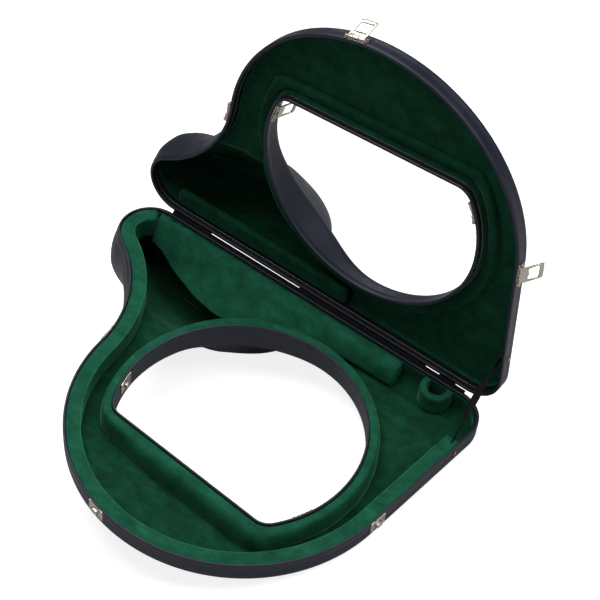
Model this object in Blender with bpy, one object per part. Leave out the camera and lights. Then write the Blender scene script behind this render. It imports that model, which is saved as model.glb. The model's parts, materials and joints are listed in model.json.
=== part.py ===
"""Hunting horn case, standing open: two ring-shaped shells with a deep bell bulge, hinged along a straight
spine, with padded linings, five draw latches, a stay strap and a carrying handle.

Everything is drawn in millimetres in the case frame. X runs along the hinge, Y points to the back, Z is up
from the parting plane, and the lid is drawn closed (z above 0) and then turned open about the hinge. The
case frame itself leans, because the bell bulge is deeper than the ring.
"""
import math

import bmesh
import bpy
import numpy as np
from mathutils import Matrix, Vector

MM = 0.001

# Plan of the case, seen from above the parting plane
RING_X = 334.5
RING_Y = -245.5
RING_R = 241.0
CORNER_R = 49.0
CORNER_X = 539.0
SHOULDER_R = 48.0
SHOULDER_X = 9.0
WAIST_R = 205.0
HOLE_R = 175.5
LOWER_HOLE_CHORD = 106.0
LID_HOLE_CHORD = 87.0
HOLE_CHORD_ANGLE = math.radians(-94.3)
HOLE_CORNER_R = 26.0
BACK_Y = -0.5

# Depths, walls and edges
LOWER_DEPTH = 42.0
LID_DEPTH = 28.0
LOWER_EDGE_R = 20.0
LID_EDGE_R = 10.0
LID_FLOOR_FROM = 14.0
RIM_GAP = 0.3
WALL = 4.5
LINING = 2.4
SEAT_GAP = 0.3
PAD_GAP = 0.8
LOWER_LINING_TOP = 5.0
LID_LINING_TOP = 16.0
LID_HOLE_LINING_TOP = 9.0
WAIST_SWELL = 12.0
WAIST_SWELL_START = 45.0

# Bell bulge: a horn's flare with its mouth at the spine
BELL_X = 115.0
BELL_MOUTH_R = 152.0
BELL_THROAT_R = 45.0
BELL_FLARE = 130.0
BELL_LEFT_WIDTH = 1.15
BELL_LEFT_POWER = 2.5
BELL_FADE_FROM = 100.0
BELL_FADE_TO = 225.0
BELL_BLEND = 18.0
BELL_RIGHT_BLEND = 28.0
BELL_BLEND_RUN = 60.0
LOWER_BELL_WIDTH = 1.03
LOWER_BELL_POWER = 3.0
LID_BELL_WIDTH = 0.85
LID_BELL_POWER = 2.8

# Tail of the bulge on its right: how far it deepens the ring, where it starts, and how fast it dies away
TAIL_FROM = 0.8
LOWER_TAIL = 27.0
LOWER_TAIL_LENGTH = 90.0
LOWER_TAIL_REACH = 80.0
LID_TAIL = 47.0
LID_TAIL_LENGTH = 75.0
LID_TAIL_REACH = 160.0

# Bottom edge of the wall beside the bulge
BELL_EDGE_R = 24.0
BELL_EDGE_RISE = 30.0

# The floor that the case stands on, as seen from the leaning case; it runs along the straight right side
REST_SLOPE = 0.22
REST_DEPTH = 166.3

# Padding
OUTER_PAD_W = 19.5
OUTER_PAD_BEVEL = 3.0
OUTER_PAD_MAX_DEPTH = 38.0
OUTER_PAD_MID = 0.6
PAD_TOP = 2.0
OUTER_PAD_END_Y = -73.0
OUTER_PAD_END_ANGLE = math.radians(127.0)
HOLE_PAD_W = 13.0
HOLE_ROLL_W = 38.0
HOLE_ROLL_FADE_FROM = math.radians(36.0)
HOLE_ROLL_FADE_TO = math.radians(66.0)
LID_HOLE_PAD_W = 21.0
LID_HOLE_PAD_TOP = 9.0
LID_HOLE_PAD_CREST = 5.0
LID_PAD_X0 = 12.0
LID_PAD_X1 = 320.0
LID_PAD_DEPTH = 9.5
LID_PAD_W = 27.0
LID_PAD_LIFT = 1.2
HOLDER_X = 502.4
HOLDER_R = 25.0
HOLDER_BORE_R = 13.0
HOLDER_LEG = 5.8
HOLDER_FRONT_DEPTH = 30.5
HOLDER_DEPTH_RUN = 20.0
HOLDER_SIDES = 12

# Wedge pad along the spine: along the spine, crest width, reach of the slope, depth of its lower edge
WEDGE_STATIONS = (
    (8.0, 17.0, 34.0, 46.0),
    (60.0, 17.0, 54.0, 58.0),
    (110.0, 17.0, 70.0, 60.0),
    (160.0, 19.0, 80.0, 58.0),
    (205.0, 21.0, 75.0, 45.0),
    (232.0, 22.5, 65.0, 33.0),
    (262.0, 24.0, 56.0, 33.0),
    (320.0, 27.0, 44.0, 33.0),
    (400.0, 29.0, 39.0, 33.0),
    (443.0, 29.0, 39.0, 33.0),
)
WEDGE_BACK_RISE = 14.0
WEDGE_BACK_IN = 20.0
WEDGE_LIP = 1.5

# Hinges
HINGE_Y = 2.5
LID_OPEN = math.radians(92.0)
HINGE_SPANS = ((25.0, 75.0), (250.0, 300.0), (417.0, 467.0), (498.0, 519.0))
KNUCKLE_R = 2.2
PIN_R = 1.0
PIN_PLAY = 0.4
KNUCKLE_PLAY = 0.4
LEAF_THICK = 1.2
LEAF_HEIGHT = 18.0
LEAF_RISE = 2.8

# Latches: lid half with a window lever, lower half with a domed catch
LATCH_FLAT = 18.5
LATCH_ANGLE_FRONT = math.radians(-103.4)
LATCH_RIGHT_FROM_END = 8.0
LATCH_WAIST_FROM_RING = 19.3
LATCH_ANGLE_HOLE_LEFT = math.radians(-165.9)
LATCH_ANGLE_HOLE_RIGHT = math.radians(-22.6)
LATCH_PLATE = 1.2
LATCH_BASE_W = 34.0
LATCH_BASE_Z0 = 1.5
LATCH_BASE_Z1 = 17.0
LATCH_AXIS_Y = 3.8
LATCH_AXIS_Z = 4.0
LUG_W = 2.5
LUG_Y = 6.2
LUG_Z1 = 6.6
LEVER_W = 26.4
LEVER_L = 35.0
LEVER_ARM = 2.8
LEVER_BAR = 5.0
LEVER_THICK = 1.8
LEVER_BARREL_R = 2.0
LEVER_TONGUE_L = 12.0
LEVER_LIFTS = {
    "front": math.radians(78.0),
    "right": math.radians(62.0),
    "waist": math.radians(70.0),
    "hole_left": math.radians(74.0),
    "hole_right": math.radians(84.0),
}
CATCH_W = 30.0
CATCH_Z0 = -22.0
CATCH_Z1 = -2.0
CATCH_TAB = 4.0
CATCH_TAB_Y = 2.1
CATCH_DOME_W = 12.0
CATCH_DOME_Y = 5.6
CATCH_DOME_Z0 = -17.0
CATCH_DOME_Z1 = -9.0
CATCH_DOME_BEVEL = 1.5

# Handle on the lower spine wall
HANDLE_X0 = 312.0
HANDLE_X1 = 404.0
HANDLE_AXIS_Y = 7.2
HANDLE_AXIS_Z = -12.0
HANDLE_DROP = 30.0
HANDLE_WIRE_R = 2.4
HANDLE_GRIP_R = 6.2
HANDLE_GRIP_IN = 20.0
HANDLE_PIN_OUT = 4.6
MOUNT_W = 18.0
MOUNT_H = 15.0
MOUNT_PLATE = 1.4
MOUNT_LUG_W = 6.0
MOUNT_LUG_R = 4.6
MOUNT_BORE_R = 2.9
MOUNT_WEB_H = 7.4
HANDLE_BEND = 6.0
HANDLE_EYE_PLAY = 0.6
HANDLE_TURN = 3.0
HANDLE_GRIP_STEP = 2.0
HANDLE_SIDES = 12

# Stay strap between the right walls
STRAP_Y = -88.0
STRAP_LOW_DEPTH = 12.0
STRAP_LID_DEPTH = 14.0
STRAP_W = 16.0
STRAP_THICK = 1.5
STRAP_ROOM = 3.4
STRAP_ROOM_LENGTH = 60.0
STRAP_OFF_LINING = 0.6
STRAP_LID_LEAN = 1.0
STRAP_POINTS = 5
RIVET_R = 3.0
RIVET_HEAD = 1.2

# Spacing of the stations round the outline
STEP_RING = 44.0
STEP_WAIST = 34.0
STEP_SHOULDER = 21.0
STEP_SPINE = 38.0
STEP_CORNER = 20.0
STEP_SIDE = 52.0
STATION_MIN = 16.0
STATION_MERGE = 3.0
FLOOR_SPANS = 5

# Offset of a skin: damping of the step at nearly flat points, and its longest length at a corner
STEP_DAMPING = 0.1
STEP_LONGEST = 1.42

LINING_FACE = WALL + SEAT_GAP
LINING_TOP_FACE = LINING_FACE + LINING
PAD_FACE = LINING_TOP_FACE + PAD_GAP
PAD_EDGE = PAD_FACE + OUTER_PAD_W

BLACK = (0.012, 0.013, 0.018)
GREEN = (0.010, 0.115, 0.055)
NICKEL = (0.62, 0.60, 0.55)
STRAP_BLACK = (0.015, 0.015, 0.016)


def direction(angle):
    """Unit vector at an angle in the plan."""
    return np.array([math.cos(angle), math.sin(angle)])


class Outline:
    """The outer outline as a chain of arcs and lines, run clockwise from the ring's right tangent point."""

    def __init__(self):
        ring = np.array([RING_X, RING_Y])
        corner = np.array([CORNER_X, -CORNER_R])
        shoulder = np.array([SHOULDER_X, -SHOULDER_R])
        between = ring - corner
        lean = math.acos((CORNER_R - RING_R) / np.linalg.norm(between))
        self.right = math.atan2(between[1], between[0]) + lean
        ring_reach = RING_R + WAIST_R
        shoulder_reach = SHOULDER_R + WAIST_R
        span = shoulder - ring
        length = np.linalg.norm(span)
        along = (ring_reach ** 2 - shoulder_reach ** 2 + length ** 2) / (2 * length)
        aside = math.sqrt(ring_reach ** 2 - along ** 2)
        unit = span / length
        waist = ring + unit * along + np.array([-unit[1], unit[0]]) * aside
        to_waist = waist - ring
        self.left = math.atan2(to_waist[1], to_waist[0])
        down = waist - shoulder
        shoulder_from = math.atan2(down[1], down[0])
        waist_from = self.left + math.pi
        waist_to = shoulder_from + math.pi
        self.pieces = []
        self.add_arc(ring, RING_R, self.right, self.left, 1, STEP_RING)
        self.ring_end = self.length
        self.add_arc(waist, WAIST_R, waist_from, waist_to, -1, STEP_WAIST)
        self.add_arc(shoulder, SHOULDER_R, shoulder_from, -1.5 * math.pi, 1, STEP_SHOULDER)
        self.spine_start = self.length
        self.add_line((SHOULDER_X, 0.0), (CORNER_X, 0.0), (0.0, 1.0), STEP_SPINE)
        self.spine_end = self.length
        self.add_arc(corner, CORNER_R, math.pi / 2, self.right, 1, STEP_CORNER)
        self.side_start = self.length
        side = direction(self.right)
        self.add_line(corner + side * CORNER_R, ring + side * RING_R, side, STEP_SIDE)
        self.turn_x = self.spine_start + RING_X - SHOULDER_X

    @property
    def length(self):
        """Length of the chain so far."""
        return sum(piece["length"] for piece in self.pieces)

    def add_arc(self, centre, radius, start, end, side, step):
        """Add an arc; side is -1 where its centre lies outside the case."""
        start_from = self.length
        self.pieces.append({"kind": "arc", "centre": centre, "radius": radius, "start": start,
                            "turn": math.copysign(1.0, end - start), "side": side, "step": step,
                            "from": start_from, "length": radius * abs(end - start)})

    def add_line(self, first, last, normal, step):
        """Add a straight stretch with its outward normal."""
        start_from = self.length
        first = np.array(first, float)
        last = np.array(last, float)
        reach = float(np.linalg.norm(last - first))
        self.pieces.append({"kind": "line", "first": first, "unit": (last - first) / reach,
                            "normal": np.array(normal, float), "step": step,
                            "from": start_from, "length": reach})

    def at(self, s):
        """Point and outward normal at a distance along the chain."""
        s = s % self.length
        piece = [item for item in self.pieces if item["from"] <= s + 1e-9][-1]
        run = s - piece["from"]
        if piece["kind"] == "line":
            return piece["first"] + piece["unit"] * run, piece["normal"]
        away = direction(piece["start"] + piece["turn"] * run / piece["radius"])
        return piece["centre"] + away * piece["radius"], away * piece["side"]

    def on_ring(self, angle):
        """Distance along the chain of the ring point at a polar angle."""
        return (self.right - angle) * RING_R

    def hole_angle(self, s):
        """Polar angle of the hole point that faces a distance along the chain."""
        knots = (0.0, self.ring_end, self.turn_x, self.length)
        angles = (self.right, self.left, -1.5 * math.pi, self.right - 2 * math.pi)
        return float(np.interp(s % self.length, knots, angles))


def hole_at(angle, chord):
    """Point and normal (into the case) of a D-shaped hole at a polar angle."""
    delta = (angle - HOLE_CHORD_ANGLE + math.pi) % (2 * math.pi) - math.pi
    fillet_reach = HOLE_R - HOLE_CORNER_R
    fillet_in = chord - HOLE_CORNER_R
    fillet_angle = math.acos(fillet_in / fillet_reach)
    chord_angle = math.atan2(fillet_reach * math.sin(fillet_angle), chord)
    centre = np.array([RING_X, RING_Y])
    ray = direction(angle)
    if abs(delta) >= fillet_angle:
        return centre + ray * HOLE_R, ray
    chord_normal = direction(HOLE_CHORD_ANGLE)
    if abs(delta) <= chord_angle:
        return centre + ray * (chord / math.cos(delta)), chord_normal
    fillet = direction(HOLE_CHORD_ANGLE + math.copysign(fillet_angle, delta)) * fillet_reach
    along = float(ray @ fillet)
    reach = along + math.sqrt(along ** 2 - fillet_reach ** 2 + HOLE_CORNER_R ** 2)
    point = ray * reach
    return centre + point, (point - fillet) / HOLE_CORNER_R


def hole_corner_angles(chord):
    """Polar angles where a hole's corners start, peak and end."""
    fillet_reach = HOLE_R - HOLE_CORNER_R
    fillet_angle = math.acos((chord - HOLE_CORNER_R) / fillet_reach)
    chord_angle = math.atan2(fillet_reach * math.sin(fillet_angle), chord)
    turns = (fillet_angle, (fillet_angle + chord_angle) / 2, chord_angle)
    return [HOLE_CHORD_ANGLE + sign * turn for sign in (1, -1) for turn in turns]


def smooth_step(value):
    """Smooth rise from 0 to 1 as value goes from 0 to 1."""
    t = np.clip(value, 0.0, 1.0)
    return t * t * (3 - 2 * t)


def bell_radius(y):
    """Radius of the horn's flare: widest at the spine, narrowing towards the ring."""
    return BELL_THROAT_R + (BELL_MOUTH_R - BELL_THROAT_R) * np.exp(-(y / BELL_FLARE) ** 2)


def bell_flank(aside, radius, width, power):
    """One side of the bulge's section: a rounded profile of a width and a power, as deep as the radius."""
    share = np.clip(aside / (width * radius), 0.0, 1.0)
    return radius * (1 - share ** power) ** (1 / power)


def bell_depth(x, y, lower):
    """Depth of the bell bulge about a line in the parting plane, with its own profile on each side."""
    radius = bell_radius(y)
    aside = x - BELL_X
    width, power = (LOWER_BELL_WIDTH, LOWER_BELL_POWER) if lower else (LID_BELL_WIDTH, LID_BELL_POWER)
    right = bell_flank(aside, radius, width, power)
    left = bell_flank(-aside, radius, BELL_LEFT_WIDTH, BELL_LEFT_POWER)
    fade = 1 - smooth_step((np.abs(y) - BELL_FADE_FROM) / (BELL_FADE_TO - BELL_FADE_FROM))
    return np.where(aside > 0, right, left) * fade


def tail_depth(x, y, lower):
    """How much the ring deepens on the bulge's right, where the bulge runs out along the spine."""
    rise, length, reach = (LOWER_TAIL, LOWER_TAIL_LENGTH, LOWER_TAIL_REACH)
    if not lower:
        rise, length, reach = (LID_TAIL, LID_TAIL_LENGTH, LID_TAIL_REACH)
    aside = x - BELL_X
    past = np.clip(aside - TAIL_FROM * bell_radius(y), 0.0, None)
    return rise * np.exp(-(past / length) ** 2 - (y / reach) ** 2) * smooth_step(aside / BELL_BLEND_RUN)


def floor_depth(x, y, lower):
    """Depth of a shell's outside: the ring's depth, its tail and the bell bulge, smoothly joined."""
    ring = (LOWER_DEPTH if lower else LID_DEPTH) + tail_depth(x, y, lower)
    bulge = bell_depth(x, y, lower)
    blend = BELL_BLEND + (BELL_RIGHT_BLEND - BELL_BLEND) * smooth_step((x - BELL_X) / BELL_BLEND_RUN)
    share = np.clip(0.5 + (bulge - ring) / (2 * blend), 0.0, 1.0)
    return ring + (bulge - ring) * share + blend * share * (1 - share)


def rest_slopes(outline):
    """Slopes of the floor along X and Y: it is level along the straight right side."""
    return REST_SLOPE, -REST_SLOPE * math.tan(outline.right)


def rest_limit(outline, x, y):
    """Depth of the floor below the parting plane, which flattens what would go through it."""
    slope_x, slope_y = rest_slopes(outline)
    return REST_DEPTH - slope_x * x + slope_y * y


def latch_places(outline):
    """Name, outline distance and side of each latch; those on the hole face a ring distance."""
    return (
        ("front", outline.on_ring(LATCH_ANGLE_FRONT), "outer"),
        ("right", outline.length - LATCH_RIGHT_FROM_END, "outer"),
        ("waist", outline.ring_end + LATCH_WAIST_FROM_RING, "outer"),
        ("hole_left", outline.on_ring(LATCH_ANGLE_HOLE_LEFT), "hole"),
        ("hole_right", outline.on_ring(LATCH_ANGLE_HOLE_RIGHT), "hole"),
    )


def latch_half(side):
    """Half the outline length that a latch's flat takes up."""
    if side == "outer":
        return LATCH_FLAT
    return math.asin(LATCH_FLAT / HOLE_R) * RING_R


def outer_pad_ends(outline):
    """Outline distances of the outer pad's ends, on the right side and on the shoulder."""
    side_point, side_normal = outline.at(outline.side_start)
    right_end = outline.side_start + (side_point[1] - OUTER_PAD_END_Y) / side_normal[0]
    left_end = outline.spine_start - (OUTER_PAD_END_ANGLE - math.pi / 2) * SHOULDER_R
    return right_end, left_end


def station_list(outline, chord):
    """Outline distances of all stations: flats for the latches, set ends for the pad, then even steps."""
    flats = [(s, latch_half(side)) for name, s, side in latch_places(outline)]
    total = outline.length

    def apart(s, centre):
        return abs((s - centre + total / 2) % total - total / 2)

    kept = [(s + sign * half) % total for s, half in flats for sign in (-1, 1)]
    fixed = list(outer_pad_ends(outline))
    fixed += [outline.on_ring(angle) for angle in hole_corner_angles(chord)]
    fixed += [piece["from"] for piece in outline.pieces[1:]] + [outline.turn_x]
    for s in fixed:
        clear = all(apart(s, centre) > half for centre, half in flats)
        if clear and min(apart(s, other) for other in kept) > STATION_MERGE:
            kept.append(s)
    for piece in outline.pieces:
        spans = max(1, round(piece["length"] / piece["step"]))
        for i in range(spans):
            s = piece["from"] + piece["length"] * i / spans
            clear = all(apart(s, centre) > half + STATION_MIN for centre, half in flats)
            if clear and min(apart(s, other) for other in kept) > STATION_MIN:
                kept.append(s)
    return sorted(kept)


def hole_pad_width(angle, straight, round_part):
    """Width of a hole pad: one value beside the straight side and another on the round part."""
    delta = abs((angle - HOLE_CHORD_ANGLE + math.pi) % (2 * math.pi) - math.pi)
    share = (delta - HOLE_ROLL_FADE_FROM) / (HOLE_ROLL_FADE_TO - HOLE_ROLL_FADE_FROM)
    return straight + (round_part - straight) * float(smooth_step(share))


class Tray:
    """One shell's outside as a grid of stations by columns, from the outer rim to the hole's rim."""

    def __init__(self, outline, lower):
        self.outline = outline
        self.lower = lower
        self.hole_chord = LOWER_HOLE_CHORD if lower else LID_HOLE_CHORD
        self.ring_depth = LOWER_DEPTH if lower else LID_DEPTH
        self.edge_r = LOWER_EDGE_R if lower else LID_EDGE_R
        self.floor_from = PAD_EDGE if lower else LID_FLOOR_FROM
        self.lining_top = LOWER_LINING_TOP if lower else LID_LINING_TOP
        self.hole_lining_top = LOWER_LINING_TOP if lower else LID_HOLE_LINING_TOP
        self.sign = -1.0 if lower else 1.0
        self.stations = station_list(outline, self.hole_chord)
        self.outside = np.array([self.section(s) for s in self.stations])
        self.steps = self.offset_steps()

    def swell(self, s):
        """How far the wall swells outward at the waist and shoulder."""
        start = self.outline.ring_end + WAIST_SWELL_START
        share = (s - start) / (self.outline.spine_start - start)
        if share <= 0 or share >= 1:
            return 0.0
        return WAIST_SWELL * math.sin(math.pi * share)

    def pad_width(self, angle):
        """Reach of the hole pad from the hole's wall."""
        if self.lower:
            return PAD_FACE + hole_pad_width(angle, HOLE_ROLL_W, HOLE_PAD_W)
        return PAD_FACE + LID_HOLE_PAD_W

    def section(self, s):
        """Points (x, y, depth) across the shell at one station."""
        point, normal = self.outline.at(s)
        angle = self.outline.hole_angle(s)
        hole, into = hole_at(angle, self.hole_chord)
        swell = self.swell(s)
        at_pad = point - normal * self.floor_from
        at_hole_pad = hole + into * self.pad_width(angle)
        wall_floor = self.depth(at_pad)
        bulge_share = min(1.0, max(0.0, (wall_floor - self.ring_depth) / BELL_EDGE_RISE))
        edge_r = self.edge_r + (BELL_EDGE_R - self.edge_r) * bulge_share
        inset = edge_r * (1 - math.sqrt(0.5))
        points = [
            (point, 0.0),
            (point + normal * swell * self.lining_top / (wall_floor - edge_r), self.lining_top),
            (point + normal * swell, wall_floor - edge_r),
            (point + normal * (swell * math.sqrt(0.5) - inset), wall_floor - inset),
        ]
        for k in range(FLOOR_SPANS + 1):
            spot = at_pad + (at_hole_pad - at_pad) * k / FLOOR_SPANS
            points.append((spot, self.depth(spot)))
        points.append((hole, self.depth(hole)))
        points.append((hole, self.hole_lining_top))
        points.append((hole, 0.0))
        row = np.array([[p[0], p[1], d] for p, d in points])
        row[:, 1] += BACK_Y
        if self.lower:
            row[:, 2] = np.minimum(row[:, 2], rest_limit(self.outline, row[:, 0], row[:, 1]))
        return row

    def depth(self, spot):
        """Depth of the outside at a plan point."""
        return float(floor_depth(spot[0], spot[1], self.lower))

    def offset_steps(self):
        """Inward step of each grid point that moves all the faces round it inward by one millimetre."""
        grid = self.outside
        following = np.roll(grid, -1, axis=0)
        count, columns = grid.shape[:2]
        total = np.zeros((count, columns, 3, 3))
        pull = np.zeros((count, columns, 3))
        a = grid[:, :-1]
        b = following[:, :-1]
        c = following[:, 1:]
        d = grid[:, 1:]
        for corners, places in (((a, b, c), ((0, 0), (1, 0), (1, 1))), ((a, c, d), ((0, 0), (1, 1), (0, 1)))):
            normal = np.cross(corners[1] - corners[0], corners[2] - corners[0])
            normal = normal / np.linalg.norm(normal, axis=2, keepdims=True)
            outer = normal[..., :, None] * normal[..., None, :]
            for along, across in places:
                total[:, across:columns - 1 + across] += np.roll(outer, along, axis=0)
                pull[:, across:columns - 1 + across] += np.roll(normal, along, axis=0)
        steps = np.linalg.solve(total + np.eye(3) * STEP_DAMPING, pull[..., None])[..., 0]
        reach = np.linalg.norm(steps, axis=2, keepdims=True)
        steps = steps * np.minimum(1.0, STEP_LONGEST / reach)
        for column in (0, 1, -2, -1):
            steps[:, column, 2] = 0.0
        inward = np.sign(np.sum(steps[:, 0, :2] * (grid[:, 4, :2] - grid[:, 0, :2]), axis=1).sum())
        return steps * inward

    def skin(self, inset, first=0, last=None):
        """The grid moved inward by a distance, in (x, y, depth)."""
        moved = self.outside + self.steps * inset
        stop = moved.shape[1] if last is None else last
        return moved[:, first:stop]

    def place(self, points):
        """Depth coordinates turned into case coordinates."""
        out = np.array(points, float)
        out[..., 2] = self.sign * (out[..., 2] + RIM_GAP)
        return out


def wall_at_depth(row, depth):
    """Point on a station's wall polyline at a depth, for rows that run downward."""
    for first, second in zip(row[:-1], row[1:]):
        if second[2] >= depth:
            share = (depth - first[2]) / max(second[2] - first[2], 1e-6)
            return first + (second - first) * max(0.0, share)
    return row[-1]


def material(name, colour, roughness, metallic):
    """A Principled BSDF material."""
    made = bpy.data.materials.new(name)
    made.use_nodes = True
    shader = made.node_tree.nodes["Principled BSDF"]
    shader.inputs["Base Color"].default_value = (*colour, 1.0)
    shader.inputs["Roughness"].default_value = roughness
    shader.inputs["Metallic"].default_value = metallic
    return made


FINISHES = {
    "leatherette": (BLACK, 0.45, 0.0),
    "velvet": (GREEN, 0.9, 0.0),
    "nickel": (NICKEL, 0.28, 1.0),
    "strap": (STRAP_BLACK, 0.7, 0.0),
}


def add_object(name, mesh, finish, parent, location=(0.0, 0.0, 0.0)):
    """Link an object with its own material under a parent, placed in millimetres."""
    obj = bpy.data.objects.new(name, mesh)
    bpy.context.scene.collection.objects.link(obj)
    obj.data.materials.append(material(name + "_finish", *FINISHES[finish]))
    obj.parent = parent
    obj.location = Vector(location) * MM
    return obj


def mesh_of(name, points, faces):
    """A closed mesh in metres with its normals facing out."""
    mesh = bpy.data.meshes.new(name)
    mesh.from_pydata([tuple(float(v) * MM for v in p) for p in points], [], faces)
    shape = bmesh.new()
    shape.from_mesh(mesh)
    bmesh.ops.recalc_face_normals(shape, faces=shape.faces)
    shape.to_mesh(mesh)
    shape.free()
    return mesh


def double_skin(name, outer, inner):
    """Closed mesh between two grids of stations by columns, each closed round the ring."""
    count, columns = outer.shape[:2]
    points = np.concatenate([outer.reshape(-1, 3), inner.reshape(-1, 3)])
    faces = []
    shift = count * columns
    for i in range(count):
        j = (i + 1) % count
        for k in range(columns - 1):
            a, b = i * columns + k, j * columns + k
            faces += [(a, b, b + 1), (a, b + 1, a + 1)]
            a, b = a + shift, b + shift
            faces += [(a, b + 1, b), (a, a + 1, b + 1)]
        for k in (0, columns - 1):
            a, b = i * columns + k, j * columns + k
            faces += [(a, a + shift, b + shift), (a, b + shift, b)]
    return mesh_of(name, points, faces)


def swept(name, sections, closed):
    """Closed mesh through a list of closed sections, either a ring of them or capped at its ends."""
    rows = np.array(sections)
    count, corners = rows.shape[:2]
    faces = []
    for i in range(count if closed else count - 1):
        j = (i + 1) % count
        for k in range(corners):
            m = (k + 1) % corners
            faces += [(i * corners + k, j * corners + k, j * corners + m),
                      (i * corners + k, j * corners + m, i * corners + m)]
    if not closed:
        faces.append(tuple(range(corners)))
        faces.append(tuple((count - 1) * corners + k for k in range(corners)))
    return mesh_of(name, rows.reshape(-1, 3), faces)


def box_points(low, high):
    """The eight corners and six faces of a box."""
    points = [(x, y, z) for z in (low[2], high[2]) for y in (low[1], high[1]) for x in (low[0], high[0])]
    faces = [(0, 2, 3, 1), (4, 5, 7, 6), (0, 1, 5, 4), (2, 6, 7, 3), (0, 4, 6, 2), (1, 3, 7, 5)]
    return points, faces


def box_mesh(name, low, high):
    """A box between two corners."""
    return mesh_of(name, *box_points(low, high))


def rod_mesh(name, start, length, radius, sides=12, y=0.0, z=0.0):
    """A rod along X with its corners on the radius."""
    turns = [2 * math.pi * (k + 0.5) / sides for k in range(sides)]
    sections = [[(x, y + radius * math.cos(t), z + radius * math.sin(t)) for t in turns]
                for x in (start, start + length)]
    return swept(name, sections, closed=False)


def combine(target, meshes, operation="UNION"):
    """Boolean meshes drawn in an object's own frame into it, one after the other."""
    for mesh in meshes:
        tool = bpy.data.objects.new("tool", mesh)
        bpy.context.scene.collection.objects.link(tool)
        tool.parent = target.parent
        tool.matrix_basis = target.matrix_basis
        modifier = target.modifiers.new("shape", "BOOLEAN")
        modifier.operation = operation
        modifier.solver = "EXACT"
        modifier.object = tool
        bpy.context.view_layer.update()
        graph = bpy.context.evaluated_depsgraph_get()
        result = bpy.data.meshes.new_from_object(target.evaluated_get(graph))
        target.modifiers.clear()
        finish = target.data.materials[0]
        target.data = result
        target.data.materials.clear()
        target.data.materials.append(finish)
        bpy.data.objects.remove(tool)


def tube_mesh(name, path, radii, sides):
    """A tube along a path in one plane of X and Z, with a radius at each point."""
    path = [Vector(p) for p in path]
    sections = []
    for i, point in enumerate(path):
        before = path[max(i - 1, 0)]
        after = path[min(i + 1, len(path) - 1)]
        along = (after - before).normalized()
        side = Vector((0.0, 1.0, 0.0))
        up = along.cross(side)
        turns = [2 * math.pi * k / sides for k in range(sides)]
        sections.append([tuple(point + (side * math.cos(t) + up * math.sin(t)) * radii[i]) for t in turns])
    return swept(name, sections, closed=False)


def build_shells(trays, parents):
    """The two shells and their linings."""
    for key, tray in trays.items():
        outside = tray.place(tray.skin(0.0))
        inside = tray.place(tray.skin(WALL))
        mesh = double_skin(key + "_shell", outside, inside)
        add_object(key + "_shell", mesh, "leatherette", parents[key])
        under = tray.place(tray.skin(LINING_FACE, 1, -1))
        over = tray.place(tray.skin(LINING_TOP_FACE, 1, -1))
        mesh = double_skin(key + "_lining", under, over)
        add_object(key + "_lining", mesh, "velvet", parents[key])


def build_outer_pad(tray, parent):
    """The flat-topped pad along the lower shell's outer wall, from the right side to the shoulder."""
    right_end, left_end = outer_pad_ends(tray.outline)
    total = tray.outline.length
    face = tray.skin(PAD_FACE)
    order = sorted(range(len(tray.stations)), key=lambda i: (tray.stations[i] - right_end + 1e-6) % total)
    reach = (left_end - right_end) % total
    sections = []
    for i in order:
        if (tray.stations[i] - right_end + 1e-6) % total > reach + 1e-3:
            continue
        wall = face[i, :5]
        edge = face[i, 4]
        top = wall_at_depth(face[i, :3], PAD_TOP)
        inward = edge[:2] - top[:2]
        inward = inward / np.linalg.norm(inward)
        bottom = min(edge[2], OUTER_PAD_MAX_DEPTH - PAD_GAP)
        step = np.array([*inward, 0.0]) * (PAD_GAP if wall[3][2] > OUTER_PAD_MAX_DEPTH else 0.0)
        if (tray.stations[i] - right_end) % total < STRAP_ROOM_LENGTH:
            step = np.array([*inward, 0.0]) * STRAP_ROOM
        row = [
            top + step,
            wall_at_depth(wall, min(wall[2][2], OUTER_PAD_MAX_DEPTH * OUTER_PAD_MID)) + step,
            wall_at_depth(wall, min(wall[3][2], OUTER_PAD_MAX_DEPTH)) + step,
            np.array([*edge[:2], bottom]),
            np.array([*edge[:2], PAD_TOP + OUTER_PAD_BEVEL]),
            np.array([*(edge[:2] - inward * OUTER_PAD_BEVEL), PAD_TOP]),
        ]
        sections.append(tray.place(np.array(row)))
    add_object("lower_outer_pad", swept("lower_outer_pad", sections, closed=False), "velvet", parent)


def build_hole_pad(name, tray, parent, top, crest):
    """The pad round a shell's hole: a narrow top that falls to the floor."""
    face = tray.skin(PAD_FACE)
    sections = []
    for i in range(len(tray.stations)):
        corner = face[i, -3]
        foot = face[i, -4]
        away = foot[:2] - corner[:2]
        away = away / np.linalg.norm(away)
        upper = np.array([*corner[:2], top])
        ridge = np.array([*(corner[:2] + away * crest), top])
        row = [foot, corner, upper, ridge]
        sections.append(tray.place(np.array(row)))
    add_object(name, swept(name, sections, closed=True), "velvet", parent)


def build_spine_pads(lower, lid, parents):
    """The wedge pad along the lower spine, and the bar pad along the lid's spine."""
    back = BACK_Y - PAD_FACE
    sections = []
    for x, crest, reach, depth in WEDGE_STATIONS:
        row = [
            (x, back, PAD_TOP),
            (x, -crest, PAD_TOP),
            (x, -reach, depth - WEDGE_LIP),
            (x, back - WEDGE_BACK_IN, depth),
            (x, back, depth - WEDGE_BACK_RISE),
        ]
        sections.append(lower.place(np.array(row)))
    mesh = swept("lower_spine_pad", sections, closed=False)
    add_object("lower_spine_pad", mesh, "velvet", parents["lower"])
    floor = LID_DEPTH - PAD_FACE - LID_PAD_LIFT
    low = (LID_PAD_X0, back - LID_PAD_W, LID_PAD_DEPTH)
    high = (LID_PAD_X1, back, floor)
    mesh = box_mesh("lid_spine_pad", low, high)
    add_object("lid_spine_pad", mesh, "velvet", parents["lid"])


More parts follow.
